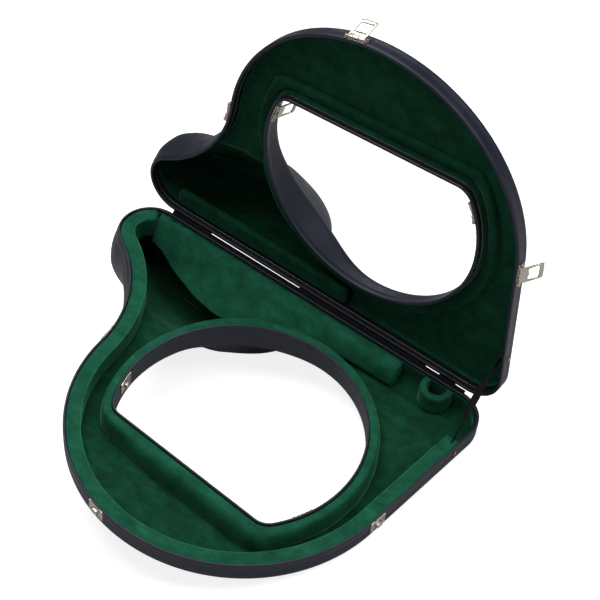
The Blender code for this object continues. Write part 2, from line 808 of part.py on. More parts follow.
def build_mouthpiece_holder(parent):
    """The padded socket for the mouthpiece: a U against the back wall, deeper towards its front."""
    wall_y = BACK_Y - PAD_FACE
    centre_y = wall_y - HOLDER_LEG
    near = LOWER_DEPTH - LOWER_EDGE_R
    turns = [-math.pi * k / HOLDER_SIDES for k in range(HOLDER_SIDES + 1)]
    path = [(math.cos(t), math.sin(t), centre_y) for t in turns]
    path = [(1.0, 0.0, wall_y)] + path + [(-1.0, 0.0, wall_y)]
    profile = ((HOLDER_R, True), (HOLDER_R, False), (HOLDER_BORE_R, False), (HOLDER_BORE_R, True))
    sections = []
    for across, out, from_y in path:
        section = []
        for radius, at_top in profile:
            y = from_y + radius * out
            share = min(1.0, (wall_y - y) / HOLDER_DEPTH_RUN)
            depth = PAD_TOP if at_top else near + (HOLDER_FRONT_DEPTH - near) * share
            section.append((HOLDER_X + radius * across, y, -(depth + RIM_GAP)))
        sections.append(section)
    add_object("mouthpiece_holder", swept("mouthpiece_holder", sections, closed=False), "velvet", parent)


def build_hinges(parents):
    """Each hinge: a lower leaf with two knuckles, a lid leaf with one, and a pin."""
    for number, (x0, x1) in enumerate(HINGE_SPANS, 1):
        third = (x1 - x0) / 3
        spans = {"lower": ((x0, x0 + third), (x1 - third, x1)), "lid": ((x0 + third, x1 - third),)}
        for key, ranges in spans.items():
            sign = -1 if key == "lower" else 1
            name = f"hinge_{number}_{key}_leaf"
            z_near = sign * LEAF_RISE
            z_far = sign * (LEAF_RISE + LEAF_HEIGHT)
            y0 = BACK_Y + SEAT_GAP - HINGE_Y
            plate = box_mesh(name, (x0, y0, min(z_near, z_far)), (x1, y0 + LEAF_THICK, max(z_near, z_far)))
            leaf = add_object(name, plate, "nickel", parents[key], hinge_offset(key))
            for a, b in ranges:
                inner = a + (KNUCKLE_PLAY if key == "lid" or a > x0 else 0)
                outer = b - (KNUCKLE_PLAY if key == "lid" or b < x1 else 0)
                web_low = (inner, y0, min(0.0, sign * (LEAF_RISE + 1)))
                web_high = (outer, y0 + LEAF_THICK, max(0.0, sign * (LEAF_RISE + 1)))
                combine(leaf, [box_mesh("web", web_low, web_high)])
                combine(leaf, [rod_mesh("knuckle", inner, outer - inner, KNUCKLE_R)])
            combine(leaf, [rod_mesh("bore", x0 - 1, x1 - x0 + 2, PIN_R + PIN_PLAY)], "DIFFERENCE")
        pin = rod_mesh(f"hinge_{number}_pin", x0, x1 - x0, PIN_R)
        add_object(f"hinge_{number}_pin", pin, "nickel", parents["lower"], hinge_offset("lower"))


def hinge_offset(key):
    """Where the hinge axis lies in a shell's own frame."""
    return (0.0, HINGE_Y, 0.0) if key == "lower" else (0.0, 0.0, 0.0)


def latch_frames(outline):
    """For each latch its name, the middle of its flat and the outward direction, in case coordinates."""
    frames = []
    for name, s, side in latch_places(outline):
        half = latch_half(side)
        if side == "outer":
            first = outline.at(s - half)[0]
            last = outline.at(s + half)[0]
        else:
            first = hole_at(outline.hole_angle(s + half), LOWER_HOLE_CHORD)[0]
            last = hole_at(outline.hole_angle(s - half), LOWER_HOLE_CHORD)[0]
        middle = (first + last) / 2 + np.array([0.0, BACK_Y])
        run = (last - first) / np.linalg.norm(last - first)
        outward = np.array([-run[1], run[0]])
        frames.append((name, middle, outward))
    return frames


def latch_matrix(middle, outward, origin):
    """Frame of a latch: X along the wall, Y outward, Z up, at an origin in the wall's own frame."""
    along = Vector((outward[1], -outward[0], 0.0))
    out = Vector((outward[0], outward[1], 0.0))
    up = Vector((0.0, 0.0, 1.0))
    place = Matrix.Identity(4)
    for column, axis in enumerate((along, out, up)):
        place.col[column][:3] = axis
    start = Vector((middle[0], middle[1], 0.0)) - Vector(origin)
    place.translation = start * MM
    return place


def build_latches(outline, parents):
    """The five latches: base and window lever on the lid, domed catch on the lower shell."""
    y0 = SEAT_GAP
    for name, middle, outward in latch_frames(outline):
        frame = latch_matrix(middle, outward, (0.0, HINGE_Y, 0.0))
        base_name = f"latch_{name}_base"
        half = LATCH_BASE_W / 2
        plate = box_mesh(base_name, (-half, y0, LATCH_BASE_Z0), (half, y0 + LATCH_PLATE, LATCH_BASE_Z1))
        base = add_object(base_name, plate, "nickel", parents["lid"])
        base.matrix_basis = frame
        shaft = LEVER_W / 2
        parts = []
        for side in (-1, 1):
            middle_x = side * (shaft + SEAT_GAP + LUG_W / 2)
            low = (middle_x - LUG_W / 2, y0, LATCH_BASE_Z0)
            high = (middle_x + LUG_W / 2, LUG_Y, LUG_Z1)
            parts.append(box_mesh("lug", low, high))
        pin_length = LEVER_W + 2 * LUG_W
        parts.append(rod_mesh("pin", -pin_length / 2, pin_length, PIN_R, 12, LATCH_AXIS_Y, LATCH_AXIS_Z))
        combine(base, parts)
        build_lever(f"latch_{name}_lever", parents["lid"], frame, LEVER_LIFTS[name])
        catch_frame = latch_matrix(middle, outward, (0.0, 0.0, 0.0))
        build_catch(f"latch_{name}_catch", parents["lower"], catch_frame)


def build_lever(name, parent, frame, lift):
    """The window lever, turned up from the wall's normal by its lift, with its origin on its own axis."""
    half = LEVER_W / 2
    thick = LEVER_THICK / 2
    barrel = rod_mesh(name, -half, LEVER_W, LEVER_BARREL_R)
    lever = add_object(name, barrel, "nickel", parent)
    axis = Matrix.Translation(Vector((0.0, LATCH_AXIS_Y, LATCH_AXIS_Z)) * MM)
    lever.matrix_basis = frame @ axis @ Matrix.Rotation(lift, 4, "X")
    parts = []
    for side in (-1, 1):
        low = min(side * half, side * (half - LEVER_ARM))
        parts.append(box_mesh("arm", (low, 0.0, -thick), (low + LEVER_ARM, LEVER_L, thick)))
    parts.append(box_mesh("bar", (-half, LEVER_L - LEVER_BAR, -thick), (half, LEVER_L, thick)))
    tongue = half - 2 * LEVER_ARM
    parts.append(box_mesh("tongue", (-tongue, 0.0, -thick / 2), (tongue, LEVER_TONGUE_L, thick / 2)))
    combine(lever, parts)
    bore = rod_mesh("bore", -half - 1, LEVER_W + 2, PIN_R + PIN_PLAY)
    combine(lever, [bore], "DIFFERENCE")


def build_catch(name, parent, frame):
    """The catch plate with its end tabs and the dome that the lever's window drops over."""
    half = CATCH_W / 2
    y0 = SEAT_GAP
    plate = box_mesh(name, (-half, y0, CATCH_Z0), (half, y0 + LATCH_PLATE, CATCH_Z1))
    catch = add_object(name, plate, "nickel", parent)
    catch.matrix_basis = frame
    parts = []
    for side in (-1, 1):
        low = min(side * half, side * (half - CATCH_TAB))
        high = low + CATCH_TAB
        parts.append(box_mesh("tab", (low, y0, CATCH_Z1 - CATCH_TAB), (high, CATCH_TAB_Y, CATCH_Z1)))
    dome = CATCH_DOME_W / 2
    inset = CATCH_DOME_BEVEL
    foot = [(-dome, CATCH_DOME_Z0), (dome, CATCH_DOME_Z0), (dome, CATCH_DOME_Z1), (-dome, CATCH_DOME_Z1)]
    crown = [(x - math.copysign(inset, x), z + (inset if z == CATCH_DOME_Z0 else -inset)) for x, z in foot]
    rings = ((y0, foot), (CATCH_DOME_Y - inset, foot), (CATCH_DOME_Y, crown))
    sections = [[(x, y, z) for x, z in ring] for y, ring in rings]
    parts.append(swept("dome", sections, closed=False))
    combine(catch, parts)


def build_handle(parent):
    """The bail handle and its two mounts on the lower spine wall."""
    y0 = BACK_Y + SEAT_GAP
    for number, x in enumerate((HANDLE_X0, HANDLE_X1), 1):
        name = f"handle_mount_{number}"
        low = (x - MOUNT_W / 2, y0, HANDLE_AXIS_Z - MOUNT_H / 2)
        high = (x + MOUNT_W / 2, y0 + MOUNT_PLATE, HANDLE_AXIS_Z + MOUNT_H / 2)
        mount = add_object(name, box_mesh(name, low, high), "nickel", parent)
        web_low = (x - MOUNT_LUG_W / 2, y0, HANDLE_AXIS_Z - MOUNT_WEB_H / 2)
        web_high = (x + MOUNT_LUG_W / 2, HANDLE_AXIS_Y, HANDLE_AXIS_Z + MOUNT_WEB_H / 2)
        eye = rod_mesh("eye", x - MOUNT_LUG_W / 2, MOUNT_LUG_W, MOUNT_LUG_R, 16, HANDLE_AXIS_Y, HANDLE_AXIS_Z)
        bore_at = (x - MOUNT_LUG_W, 2 * MOUNT_LUG_W, MOUNT_BORE_R)
        combine(mount, [box_mesh("web", web_low, web_high), eye])
        combine(mount, [rod_mesh("bore", *bore_at, 16, HANDLE_AXIS_Y, HANDLE_AXIS_Z)], "DIFFERENCE")
    arm_x = HANDLE_X0 + MOUNT_LUG_W / 2 + HANDLE_EYE_PLAY + HANDLE_WIRE_R + HANDLE_TURN
    left = [(HANDLE_X0 - HANDLE_PIN_OUT, 0.0, 0.0)]
    for share in (0.0, 0.5, 1.0):
        turn = share * math.pi / 2
        left.append((arm_x - HANDLE_TURN * (1 - math.sin(turn)), 0.0, HANDLE_TURN * (math.cos(turn) - 1)))
    for share in (0.0, 0.5, 1.0):
        turn = share * math.pi / 2
        left.append((arm_x + HANDLE_BEND * (1 - math.cos(turn)), 0.0,
                     HANDLE_BEND * (1 - math.sin(turn)) - HANDLE_DROP))
    left.append((HANDLE_X0 + HANDLE_GRIP_IN, 0.0, -HANDLE_DROP))
    left.append((HANDLE_X0 + HANDLE_GRIP_IN + HANDLE_GRIP_STEP, 0.0, -HANDLE_DROP))
    radii = [HANDLE_WIRE_R] * (len(left) - 1) + [HANDLE_GRIP_R]
    middle = HANDLE_X0 + HANDLE_X1
    path = left + [(middle - x, y, z) for x, y, z in reversed(left)]
    mesh = tube_mesh("handle", path, radii + radii[::-1], HANDLE_SIDES)
    add_object("handle", mesh, "leatherette", parent, (0.0, HANDLE_AXIS_Y, HANDLE_AXIS_Z))


def lid_point(x, y, depth):
    """A lid point of the closed plan, where it lies with the lid open, in case coordinates."""
    ry = y - HINGE_Y
    rz = depth
    c = math.cos(-LID_OPEN)
    s = math.sin(-LID_OPEN)
    return np.array([x, HINGE_Y + ry * c - rz * s, ry * s + rz * c])


def side_wall_x(outline, y):
    """X of the outer face of the right side wall at a Y, and its outward normal."""
    point, normal = outline.at(outline.side_start)
    return point[0] + (point[1] + BACK_Y - y) * normal[1] / normal[0], normal


def build_stay(outline, parents):
    """The stay strap from the lower right wall to the lid's, and the rivet at each end."""
    wall_x, normal = side_wall_x(outline, STRAP_Y)
    inner = wall_x - (LINING_TOP_FACE + STRAP_OFF_LINING) / normal[0]
    low = np.array([inner, STRAP_Y, -STRAP_LOW_DEPTH])
    high = lid_point(inner - STRAP_LID_LEAN, STRAP_Y, STRAP_LID_DEPTH)
    run = (high - low) / np.linalg.norm(high - low)
    across = np.cross(np.array([1.0, 0.0, 0.0]), run)
    across = across / np.linalg.norm(across)
    thick = np.array([1.0, 0.0, 0.0]) * STRAP_THICK
    sections = []
    for share in np.linspace(0.0, 1.0, STRAP_POINTS):
        mid = low + (high - low) * share
        edge = across * STRAP_W / 2
        sections.append([mid - edge, mid + edge, mid + edge - thick, mid - edge - thick])
    add_object("stay_strap", swept("stay_strap", sections, closed=False), "strap", parents["lower"])
    for key, depth in (("lower", STRAP_LOW_DEPTH), ("lid", STRAP_LID_DEPTH)):
        sign = -1 if key == "lower" else 1
        name = f"stay_rivet_{key}"
        head = rod_mesh(name, SEAT_GAP, RIVET_HEAD, RIVET_R)
        rivet = add_object(name, head, "nickel", parents[key])
        turn = Matrix.Rotation(math.atan2(normal[1], normal[0]), 4, "Z")
        origin = hinge_offset("lower") if key == "lid" else (0.0, 0.0, 0.0)
        spot = (Vector((wall_x, STRAP_Y, sign * (depth + RIM_GAP))) - Vector(origin)) * MM
        rivet.matrix_basis = Matrix.Translation(spot) @ turn


def main():
    """Build the case open, then stand it on its bell bulge and ring."""
    for old in list(bpy.data.objects):
        bpy.data.objects.remove(old)
    frame = bpy.data.objects.new("case_frame", None)
    bpy.context.scene.collection.objects.link(frame)
    hinge = bpy.data.objects.new("lid_hinge", None)
    bpy.context.scene.collection.objects.link(hinge)
    hinge.parent = frame
    hinge.location = Vector((0.0, HINGE_Y, 0.0)) * MM
    shift = bpy.data.objects.new("lid_drawing", None)
    bpy.context.scene.collection.objects.link(shift)
    shift.parent = hinge
    shift.location = Vector((0.0, -HINGE_Y, 0.0)) * MM
    drawn = {"lower": frame, "lid": shift}
    axial = {"lower": frame, "lid": hinge}
    outline = Outline()
    trays = {"lower": Tray(outline, True), "lid": Tray(outline, False)}
    build_shells(trays, drawn)
    build_outer_pad(trays["lower"], frame)
    build_hole_pad("lower_hole_pad", trays["lower"], frame, PAD_TOP, HOLE_PAD_W)
    build_hole_pad("lid_hole_pad", trays["lid"], shift, LID_HOLE_PAD_TOP, LID_HOLE_PAD_CREST)
    build_spine_pads(trays["lower"], trays["lid"], drawn)
    build_mouthpiece_holder(frame)
    build_hinges(axial)
    build_latches(outline, axial)
    build_handle(frame)
    build_stay(outline, axial)
    hinge.rotation_euler = (-LID_OPEN, 0.0, 0.0)
    stand(frame, *rest_slopes(outline))


def stand(frame, slope_x, slope_y):
    """Lean the case frame so that its rest plane is level, and centre its box over the origin."""
    up = Vector((-slope_x, slope_y, 1.0)).normalized()
    along = Vector((1.0, 0.0, 0.0))
    along = (along - up * along.dot(up)).normalized()
    back = up.cross(along)
    turn = Matrix((along, back, up)).to_4x4()
    frame.matrix_world = turn
    bpy.context.view_layer.update()
    points = []
    for obj in bpy.data.objects:
        if obj.type == "MESH":
            points += [obj.matrix_world @ v.co for v in obj.data.vertices]
    cloud = np.array([tuple(p) for p in points])
    low = cloud.min(axis=0)
    high = cloud.max(axis=0)
    move = Vector((-(low[0] + high[0]) / 2, -(low[1] + high[1]) / 2, -low[2]))
    frame.matrix_world = Matrix.Translation(move) @ turn
    bpy.context.view_layer.update()


main()
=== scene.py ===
"""Looks of the hunting horn case: covered shells, velvet linings and pads, nickel latches, strap and handle.

Shapes are worked out in millimetres in the case frame: X along the hinge, Y to the back, Z up from the
parting plane. A point of a shell is written (x, y, depth), with the depth counted from the shell's own rim,
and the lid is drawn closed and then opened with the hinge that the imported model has.
"""
import json
import math

import bmesh
import bpy
import numpy as np
from mathutils import Matrix, Vector


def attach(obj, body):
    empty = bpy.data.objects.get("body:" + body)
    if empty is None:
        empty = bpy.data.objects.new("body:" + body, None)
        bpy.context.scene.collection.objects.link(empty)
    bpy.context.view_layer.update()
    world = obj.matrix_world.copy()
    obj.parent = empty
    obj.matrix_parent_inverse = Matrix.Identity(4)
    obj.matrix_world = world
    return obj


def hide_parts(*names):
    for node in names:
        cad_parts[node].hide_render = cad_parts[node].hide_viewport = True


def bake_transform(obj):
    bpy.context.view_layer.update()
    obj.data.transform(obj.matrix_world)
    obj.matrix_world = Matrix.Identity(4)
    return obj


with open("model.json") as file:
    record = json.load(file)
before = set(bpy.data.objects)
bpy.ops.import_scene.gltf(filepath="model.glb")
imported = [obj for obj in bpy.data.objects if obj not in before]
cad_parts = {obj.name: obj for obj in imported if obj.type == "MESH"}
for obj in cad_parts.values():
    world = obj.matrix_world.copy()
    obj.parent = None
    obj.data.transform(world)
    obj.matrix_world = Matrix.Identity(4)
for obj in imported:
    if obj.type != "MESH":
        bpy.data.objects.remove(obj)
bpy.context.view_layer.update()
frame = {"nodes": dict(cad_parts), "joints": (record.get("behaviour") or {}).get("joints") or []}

MM = 0.001
TURN = 2 * math.pi

# Plan of the case
RING_X = 334.5
RING_Y = -245.5
RING_R = 241.0
CORNER_R = 49.0
CORNER_X = 539.0
SHOULDER_R = 48.0
SHOULDER_X = 9.0
WAIST_R = 205.0
HOLE_R = 175.5
LOWER_HOLE_CHORD = 106.0
LID_HOLE_CHORD = 87.0
HOLE_CHORD_ANGLE = math.radians(-94.3)
HOLE_CORNER_R = 26.0
BACK_Y = -0.5

# Shells and linings
LOWER_DEPTH = 42.0
LID_DEPTH = 28.0
LOWER_EDGE_R = 20.0
LID_EDGE_R = 10.0
LID_FLOOR_FROM = 14.0
HOLE_EDGE_R = 9.5
LEDGE_W = 1.5
MIN_COS = 0.35
RIM_GAP = 0.3
RIM_ROUND = 1.3
BAND_DEPTH = 8.4
BAND_STEP = 0.15
BAND_OUT = 0.55
RIM_WALL = 2.5
WALL_TOP_ROWS = 6
WALL = 4.5
LINING = 2.4
SEAT_GAP = 0.3
PAD_GAP = 0.8
LOWER_LINING_TOP = 5.0
LID_LINING_TOP = 16.0
LID_HOLE_LINING_TOP = 9.0
WAIST_SWELL = 12.0
WAIST_SWELL_START = 45.0
FLOOR_EASE = 9.0

# Bell bulge
BELL_X = 115.0
BELL_MOUTH_R = 152.0
BELL_THROAT_R = 45.0
BELL_FLARE = 130.0
BELL_LEFT_WIDTH = 1.15
BELL_LEFT_POWER = 2.5
BELL_FADE_FROM = 100.0
BELL_FADE_TO = 225.0
BELL_BLEND = 18.0
BELL_RIGHT_BLEND = 28.0
BELL_BLEND_RUN = 60.0
LOWER_BELL_RIGHT = (1.03, 3.0)
LID_BELL_RIGHT = (0.85, 2.8)
TAIL_FROM = 0.8
LOWER_TAIL = (27.0, 90.0, 80.0)
LID_TAIL = (47.0, 75.0, 160.0)
BELL_EDGE_R = 24.0
BELL_EDGE_RISE = 30.0
REST_SLOPE = 0.22
REST_DEPTH = 166.3
REST_BLEND = 3.0

# Pads
OUTER_PAD_W = 16.0
OUTER_PAD_MAX_DEPTH = 38.0
PAD_TOP = 2.0
OUTER_PAD_END_Y = -73.0
OUTER_PAD_END_ANGLE = math.radians(115.0)
HOLE_PAD_W = 11.5
HOLE_ROLL_W = 20.0
HOLE_ROLL_FADE_LEFT = (math.radians(16.0), math.radians(56.0))
HOLE_ROLL_FADE_RIGHT = (math.radians(36.0), math.radians(78.0))
PAD_LIP = 3.0
PAD_LIP_DEPTH = 4.7
LID_HOLE_PAD_W = 18.0
LID_HOLE_PAD_TOP = 9.0
LID_HOLE_PAD_CREST = 9.0
LID_PAD_X0 = 12.0
LID_PAD_X1 = 320.0
LID_PAD_DEPTH = 9.5
LID_PAD_W = 27.0
LID_PAD_LIFT = 1.2
HOLDER_X = 502.4
HOLDER_R = 25.0
HOLDER_BORE_R = 13.0
HOLDER_LEG = 5.8
HOLDER_FRONT_DEPTH = 31.5
HOLDER_DEPTH_RUN = 20.0
WEDGE_X = (8.0, 60.0, 110.0, 160.0, 205.0, 232.0, 262.0, 320.0, 400.0, 443.0)
WEDGE_CREST = (17.0, 17.0, 17.0, 19.0, 21.0, 22.5, 24.0, 27.0, 29.0, 29.0)
WEDGE_REACH = (34.0, 54.0, 70.0, 80.0, 75.0, 65.0, 56.0, 44.0, 39.0, 39.0)
WEDGE_DEPTH = (46.0, 58.0, 60.0, 58.0, 45.0, 33.0, 33.0, 33.0, 33.0, 33.0)
WEDGE_BACK_RISE = 14.0
WEDGE_BACK_IN = 20.0
WEDGE_ROLL_FROM = 180.0
WEDGE_ROLL_RUN = 120.0
WEDGE_SEAMS = ((20.0, 1.6, 2.2), (39.0, 1.3, 1.76))

# Hinge line, latches and handle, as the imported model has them
HINGE_Y = 2.5
LID_OPEN = math.radians(92.0)
LATCH_AXIS_Y = 3.8
LATCH_AXIS_Z = 4.0
LEAF_RISE = 2.8
LEAF_HEIGHT = 18.0
LEAF_THICK = 1.2
KNUCKLE_R = 2.2
HANDLE_X = (312.0, 404.0)
HANDLE_AXIS_Y = 7.2
HANDLE_AXIS_Z = -12.0
HANDLE_DROP = 30.0
HANDLE_WIRE_R = 2.4
LEVER_LIFTS = {"front": 78.0, "right": 62.0, "waist": 70.0, "hole_left": 74.0, "hole_right": 84.0}
HINGE_SPANS = ((25.0, 75.0), (250.0, 300.0), (417.0, 467.0), (498.0, 519.0))

# Stay strap: its place and size, how far from each rivet it still rides whole, then how far it runs past
# the rivets, how it sags and curls, and where along it the twist is
STRAP_Y = -88.0
STRAP_LOW_DEPTH = 12.0
STRAP_LID_DEPTH = 14.0
STRAP_W = 10.5
STRAP_THICK = 1.5
STRAP_OFF_LINING = 0.6
STRAP_LID_LEAN = 1.0
STRAP_PAST = 0.055
STRAP_SAG = 4.0
STRAP_SLACK = 2.0
STRAP_CURL = 0.8
TWIST_FROM = 0.14
TWIST_RUN = 0.72

# Camera, in the case frame
CAMERA_AT = (1466.7, -1855.3, 2409.9)
CAMERA_RIGHT = (0.7897, 0.6095, 0.0701)
CAMERA_DOWN = (0.4895, -0.5570, -0.6710)
CAMERA_LENS = 136.1
CAMERA_SENSOR = 36.0

# Depths of the faces counted from a shell's outside, and how the surfaces are made
LINING_FACE = WALL + SEAT_GAP
LINING_TOP_FACE = LINING_FACE + LINING
PAD_FACE = LINING_TOP_FACE + PAD_GAP
PAD_SIDE = PAD_FACE + 0.2
PAD_EDGE = PAD_FACE + OUTER_PAD_W
STATIONS = 440
WELD = 2e-6
SHARP_ANGLE = math.radians(50.0)
UP = np.array([[0.0, 0.0, 1.0]])

# Where the lower rim's bare wall is thin: axis of the plan, distance towards the negative side, and fade
THIN_RIM = ((1, 76.0, 8.0), (0, 6.0, 6.0))

# Strip between the rims: its radius about the hinge line, where its arc ends, how far it lies on the lower
# rim along Y and on the lid's rim along Z, where its arc ends at the gaps, and the gaps along X
GUSSET_R = 2.7
GUSSET_THICK = 0.24
GUSSET_END = math.radians(86.0)
GUSSET_FLAT = (-3.6, -0.7)
GUSSET_RISE = (GUSSET_R + 0.4, 6.4)
GUSSET_OFF_LID = 0.26
GUSSET_SHORT = math.radians(99.0)
LIGHT_GAPS = ((81.0, 247.0), (470.0, 496.0), (521.0, 545.0))
GAP_FADE = 2.0

# Beads and piping, and the seam across the lower hole pad
BEAD_R = 0.9
PIPING_R = 0.75
HOLE_SEAM_ANGLE = math.radians(62.0)
HOLE_SEAM_WIDTH = math.radians(0.35)
HOLE_SEAM_DEPTH = 1.4

# Latch parts: half sizes along X and Z, places along X, thicknesses, and the hook's (scale, height) rings
PLATE_FOOT = 0.3
PLATE_BEVEL = 0.45
BASE_HALF = (17.0, 7.7)
EAR_X = 14.75
CROSS_PIN_X = 16.6
LEVER_HALF = (13.2, 17.6)
WINDOW_HALF = (10.3, 8.6)
LEVER_HALF_THICK = 0.9
KNUCKLE_SPANS = ((-13.2, -5.0), (5.0, 13.2))
LIP_X = 12.0
TONGUE_X = 6.4
CATCH_HALF = (15.0, 10.0)
HOOK_HALF = (6.0, 4.0)
HOOK_RINGS = ((0.0, 1.2), (1.0, 1.2), (1.0, 3.6), (0.97, 4.6), (0.86, 5.3), (0.6, 5.6), (0.0, 5.65))

# Handle: its grip, its arms from the mounts to the grip, and the eyes that carry it
GRIP_HALF = 27.0
GRIP_R = 6.1
GRIP_TAPER = 1.7
STITCHES = 42
ARM_IN = 9.0
EYE_R = 3.75
EYE_WIRE_R = 0.95

# Lamps: name, place, size in metres, power in watts
LAMP_TARGET = (0.0, 0.05, 0.2)
LAMPS = (("top", (-0.2, 0.1, 2.8), 2.3, 68.0), ("back", (-1.3, 1.7, 2.3), 0.9, 14.0),
         ("side", (2.1, 0.5, 2.1), 1.2, 34.0), ("front", (0.4, -2.3, 2.0), 1.2, 8.0))
WORLD_LIGHT = 0.10
FLOOR_GLOW = 0.82
FLOOR_HALF = 12.0


def smooth_step(value):
    """Smooth rise from 0 to 1 as value goes from 0 to 1."""
    t = np.clip(value, 0.0, 1.0)
    return t * t * (3 - 2 * t)


def smooth_max(first, second, blend):
    """The larger of two values, with the corner between them rounded over a blend."""
    share = np.clip(0.5 + (first - second) / (2 * blend), 0.0, 1.0)
    return second + (first - second) * share + blend * share * (1 - share)


def directions(angle):
    """Unit vectors in the plan at angles."""
    return np.stack([np.cos(angle), np.sin(angle)], axis=-1)


def unit(vectors):
    """Vectors scaled to length one."""
    return vectors / np.linalg.norm(vectors, axis=-1, keepdims=True)


def angle_from(base, angle):
    """Angles counted from a base angle, between minus and plus half a turn."""
    return (angle - base + math.pi) % TURN - math.pi


def spots(*coordinates):
    """Points from their coordinates, which are numbers or arrays that fit together."""
    return np.stack(np.broadcast_arrays(*coordinates), axis=-1)


class Outline:
    """The outer outline as arcs and lines, run clockwise from the ring's right tangent point."""

    def __init__(self):
        ring = np.array([RING_X, RING_Y])
        corner = np.array([CORNER_X, -CORNER_R])
        shoulder = np.array([SHOULDER_X, -SHOULDER_R])
        between = ring - corner
        lean = math.acos((CORNER_R - RING_R) / np.linalg.norm(between))
        self.right = math.atan2(between[1], between[0]) + lean
        reach = RING_R + WAIST_R
        span = shoulder - ring
        length = np.linalg.norm(span)
        along = (reach ** 2 - (SHOULDER_R + WAIST_R) ** 2 + length ** 2) / (2 * length)
        aside = math.sqrt(reach ** 2 - along ** 2)
        across = span / length
        waist = ring + across * along + np.array([-across[1], across[0]]) * aside
        self.left = math.atan2(*(waist - ring)[::-1])
        shoulder_from = math.atan2(*(waist - shoulder)[::-1])
        self.pieces = []
        self.total = 0.0
        self.add_arc(ring, RING_R, self.right, self.left, 1)
        self.ring_end = self.total
        self.add_arc(waist, WAIST_R, self.left + math.pi, shoulder_from + math.pi, -1)
        self.add_arc(shoulder, SHOULDER_R, shoulder_from, -1.5 * math.pi, 1)
        self.spine_start = self.total
        self.add_line(np.array([SHOULDER_X, 0.0]), np.array([CORNER_X, 0.0]), np.array([0.0, 1.0]))
        self.spine_end = self.total
        self.add_arc(corner, CORNER_R, math.pi / 2, self.right, 1)
        self.side_start = self.total
        side = directions(self.right)
        self.add_line(corner + side * CORNER_R, ring + side * RING_R, side)
        self.turn_x = self.spine_start + RING_X - SHOULDER_X

    def add_arc(self, centre, radius, start, end, side):
        """Add an arc; side is -1 where its centre lies outside the case."""
        turn = math.copysign(1.0, end - start)
        length = radius * abs(end - start)

        def run(s):
            away = directions(start + turn * s / radius)
            return centre + away * radius, away * side

        self.pieces.append((self.total, length, run))
        self.total += length

    def add_line(self, first, last, normal):
        """Add a straight stretch with its outward normal."""
        length = float(np.linalg.norm(last - first))

        def run(s):
            points = first + (last - first) / length * s[..., None]
            return points, np.broadcast_to(normal, points.shape)

        self.pieces.append((self.total, length, run))
        self.total += length

    def at(self, s):
        """Points and outward normals at distances along the outline."""
        s = np.asarray(s, float) % self.total
        points = np.zeros(s.shape + (2,))
        normals = np.zeros(s.shape + (2,))
        for start, length, run in self.pieces:
            inside = (s >= start) & (s < start + length)
            points[inside], normals[inside] = run(s[inside] - start)
        return points, normals

    def hole_angle(self, s):
        """Polar angles of the hole points that face distances along the outline."""
        knots = (0.0, self.ring_end, self.turn_x, self.total)
        angles = (self.right, self.left, -1.5 * math.pi, self.right - TURN)
        return np.interp(np.asarray(s, float) % self.total, knots, angles)

    def swell(self, s):
        """How far the wall swells outward at the waist and shoulder: half a sine wave."""
        start = self.ring_end + WAIST_SWELL_START
        share = np.clip((s % self.total - start) / (self.spine_start - start), 0.0, 1.0)
        return WAIST_SWELL * np.sin(math.pi * share)


OUTLINE = Outline()
SIDE_POINT, SIDE_NORMAL = (rows[0] for rows in OUTLINE.at(np.array([OUTLINE.side_start])))
REST_SLOPE_Y = -REST_SLOPE * math.tan(OUTLINE.right)


def hole_at(angle, chord_at):
    """Points and normals (into the case) of the D-shaped hole: an arc, a straight side, two round corners."""
    delta = angle_from(HOLE_CHORD_ANGLE, angle)
    sign = np.sign(delta)
    delta = np.abs(delta)
    reach = HOLE_R - HOLE_CORNER_R
    fillet_angle = math.acos((chord_at - HOLE_CORNER_R) / reach)
    chord_angle = math.atan2(reach * math.sin(fillet_angle), chord_at)
    ray = directions(angle)
    fillet = directions(HOLE_CHORD_ANGLE + sign * fillet_angle) * reach
    along = np.sum(ray * fillet, axis=-1)
    root = np.sqrt(np.clip(along ** 2 - reach ** 2 + HOLE_CORNER_R ** 2, 0.0, None))
    in_corner = along + root
    on_chord = chord_at / np.maximum(np.cos(delta), 0.2)
    distance = np.where(delta >= fillet_angle, HOLE_R, np.where(delta <= chord_angle, on_chord, in_corner))
    point = ray * distance[..., None]
    chord = np.broadcast_to(directions(HOLE_CHORD_ANGLE), ray.shape)
    corner = (point - fillet) / HOLE_CORNER_R
    normal = np.where((delta >= fillet_angle)[..., None], ray,
                      np.where((delta <= chord_angle)[..., None], chord, corner))
    return np.array([RING_X, RING_Y]) + point, unit(normal)


def floor_depth(x, y, lower):
    """Depth of a shell's outside: the ring's depth with a tail beside the bell, joined to a horn's flare. The
    flare's radius is throat + (mouth - throat) exp(-(y / flare)^2), and each of its sides has the section
    radius (1 - share^power)^(1 / power)."""
    radius = BELL_THROAT_R + (BELL_MOUTH_R - BELL_THROAT_R) * np.exp(-(y / BELL_FLARE) ** 2)
    aside = x - BELL_X
    width, power = LOWER_BELL_RIGHT if lower else LID_BELL_RIGHT
    right = radius * (1 - np.clip(aside / (width * radius), 0.0, 1.0) ** power) ** (1 / power)
    share = np.clip(-aside / (BELL_LEFT_WIDTH * radius), 0.0, 1.0)
    left = radius * (1 - share ** BELL_LEFT_POWER) ** (1 / BELL_LEFT_POWER)
    fade = 1 - smooth_step((np.abs(y) - BELL_FADE_FROM) / (BELL_FADE_TO - BELL_FADE_FROM))
    rise, length, reach = LOWER_TAIL if lower else LID_TAIL
    past = np.clip(aside - TAIL_FROM * radius, 0.0, None)
    to_right = smooth_step(aside / BELL_BLEND_RUN)
    tail = rise * np.exp(-(past / length) ** 2 - (y / reach) ** 2) * to_right
    ring = (LOWER_DEPTH if lower else LID_DEPTH) + tail
    blend = BELL_BLEND + (BELL_RIGHT_BLEND - BELL_BLEND) * to_right
    return smooth_max(np.where(aside > 0, right, left) * fade, ring, blend)


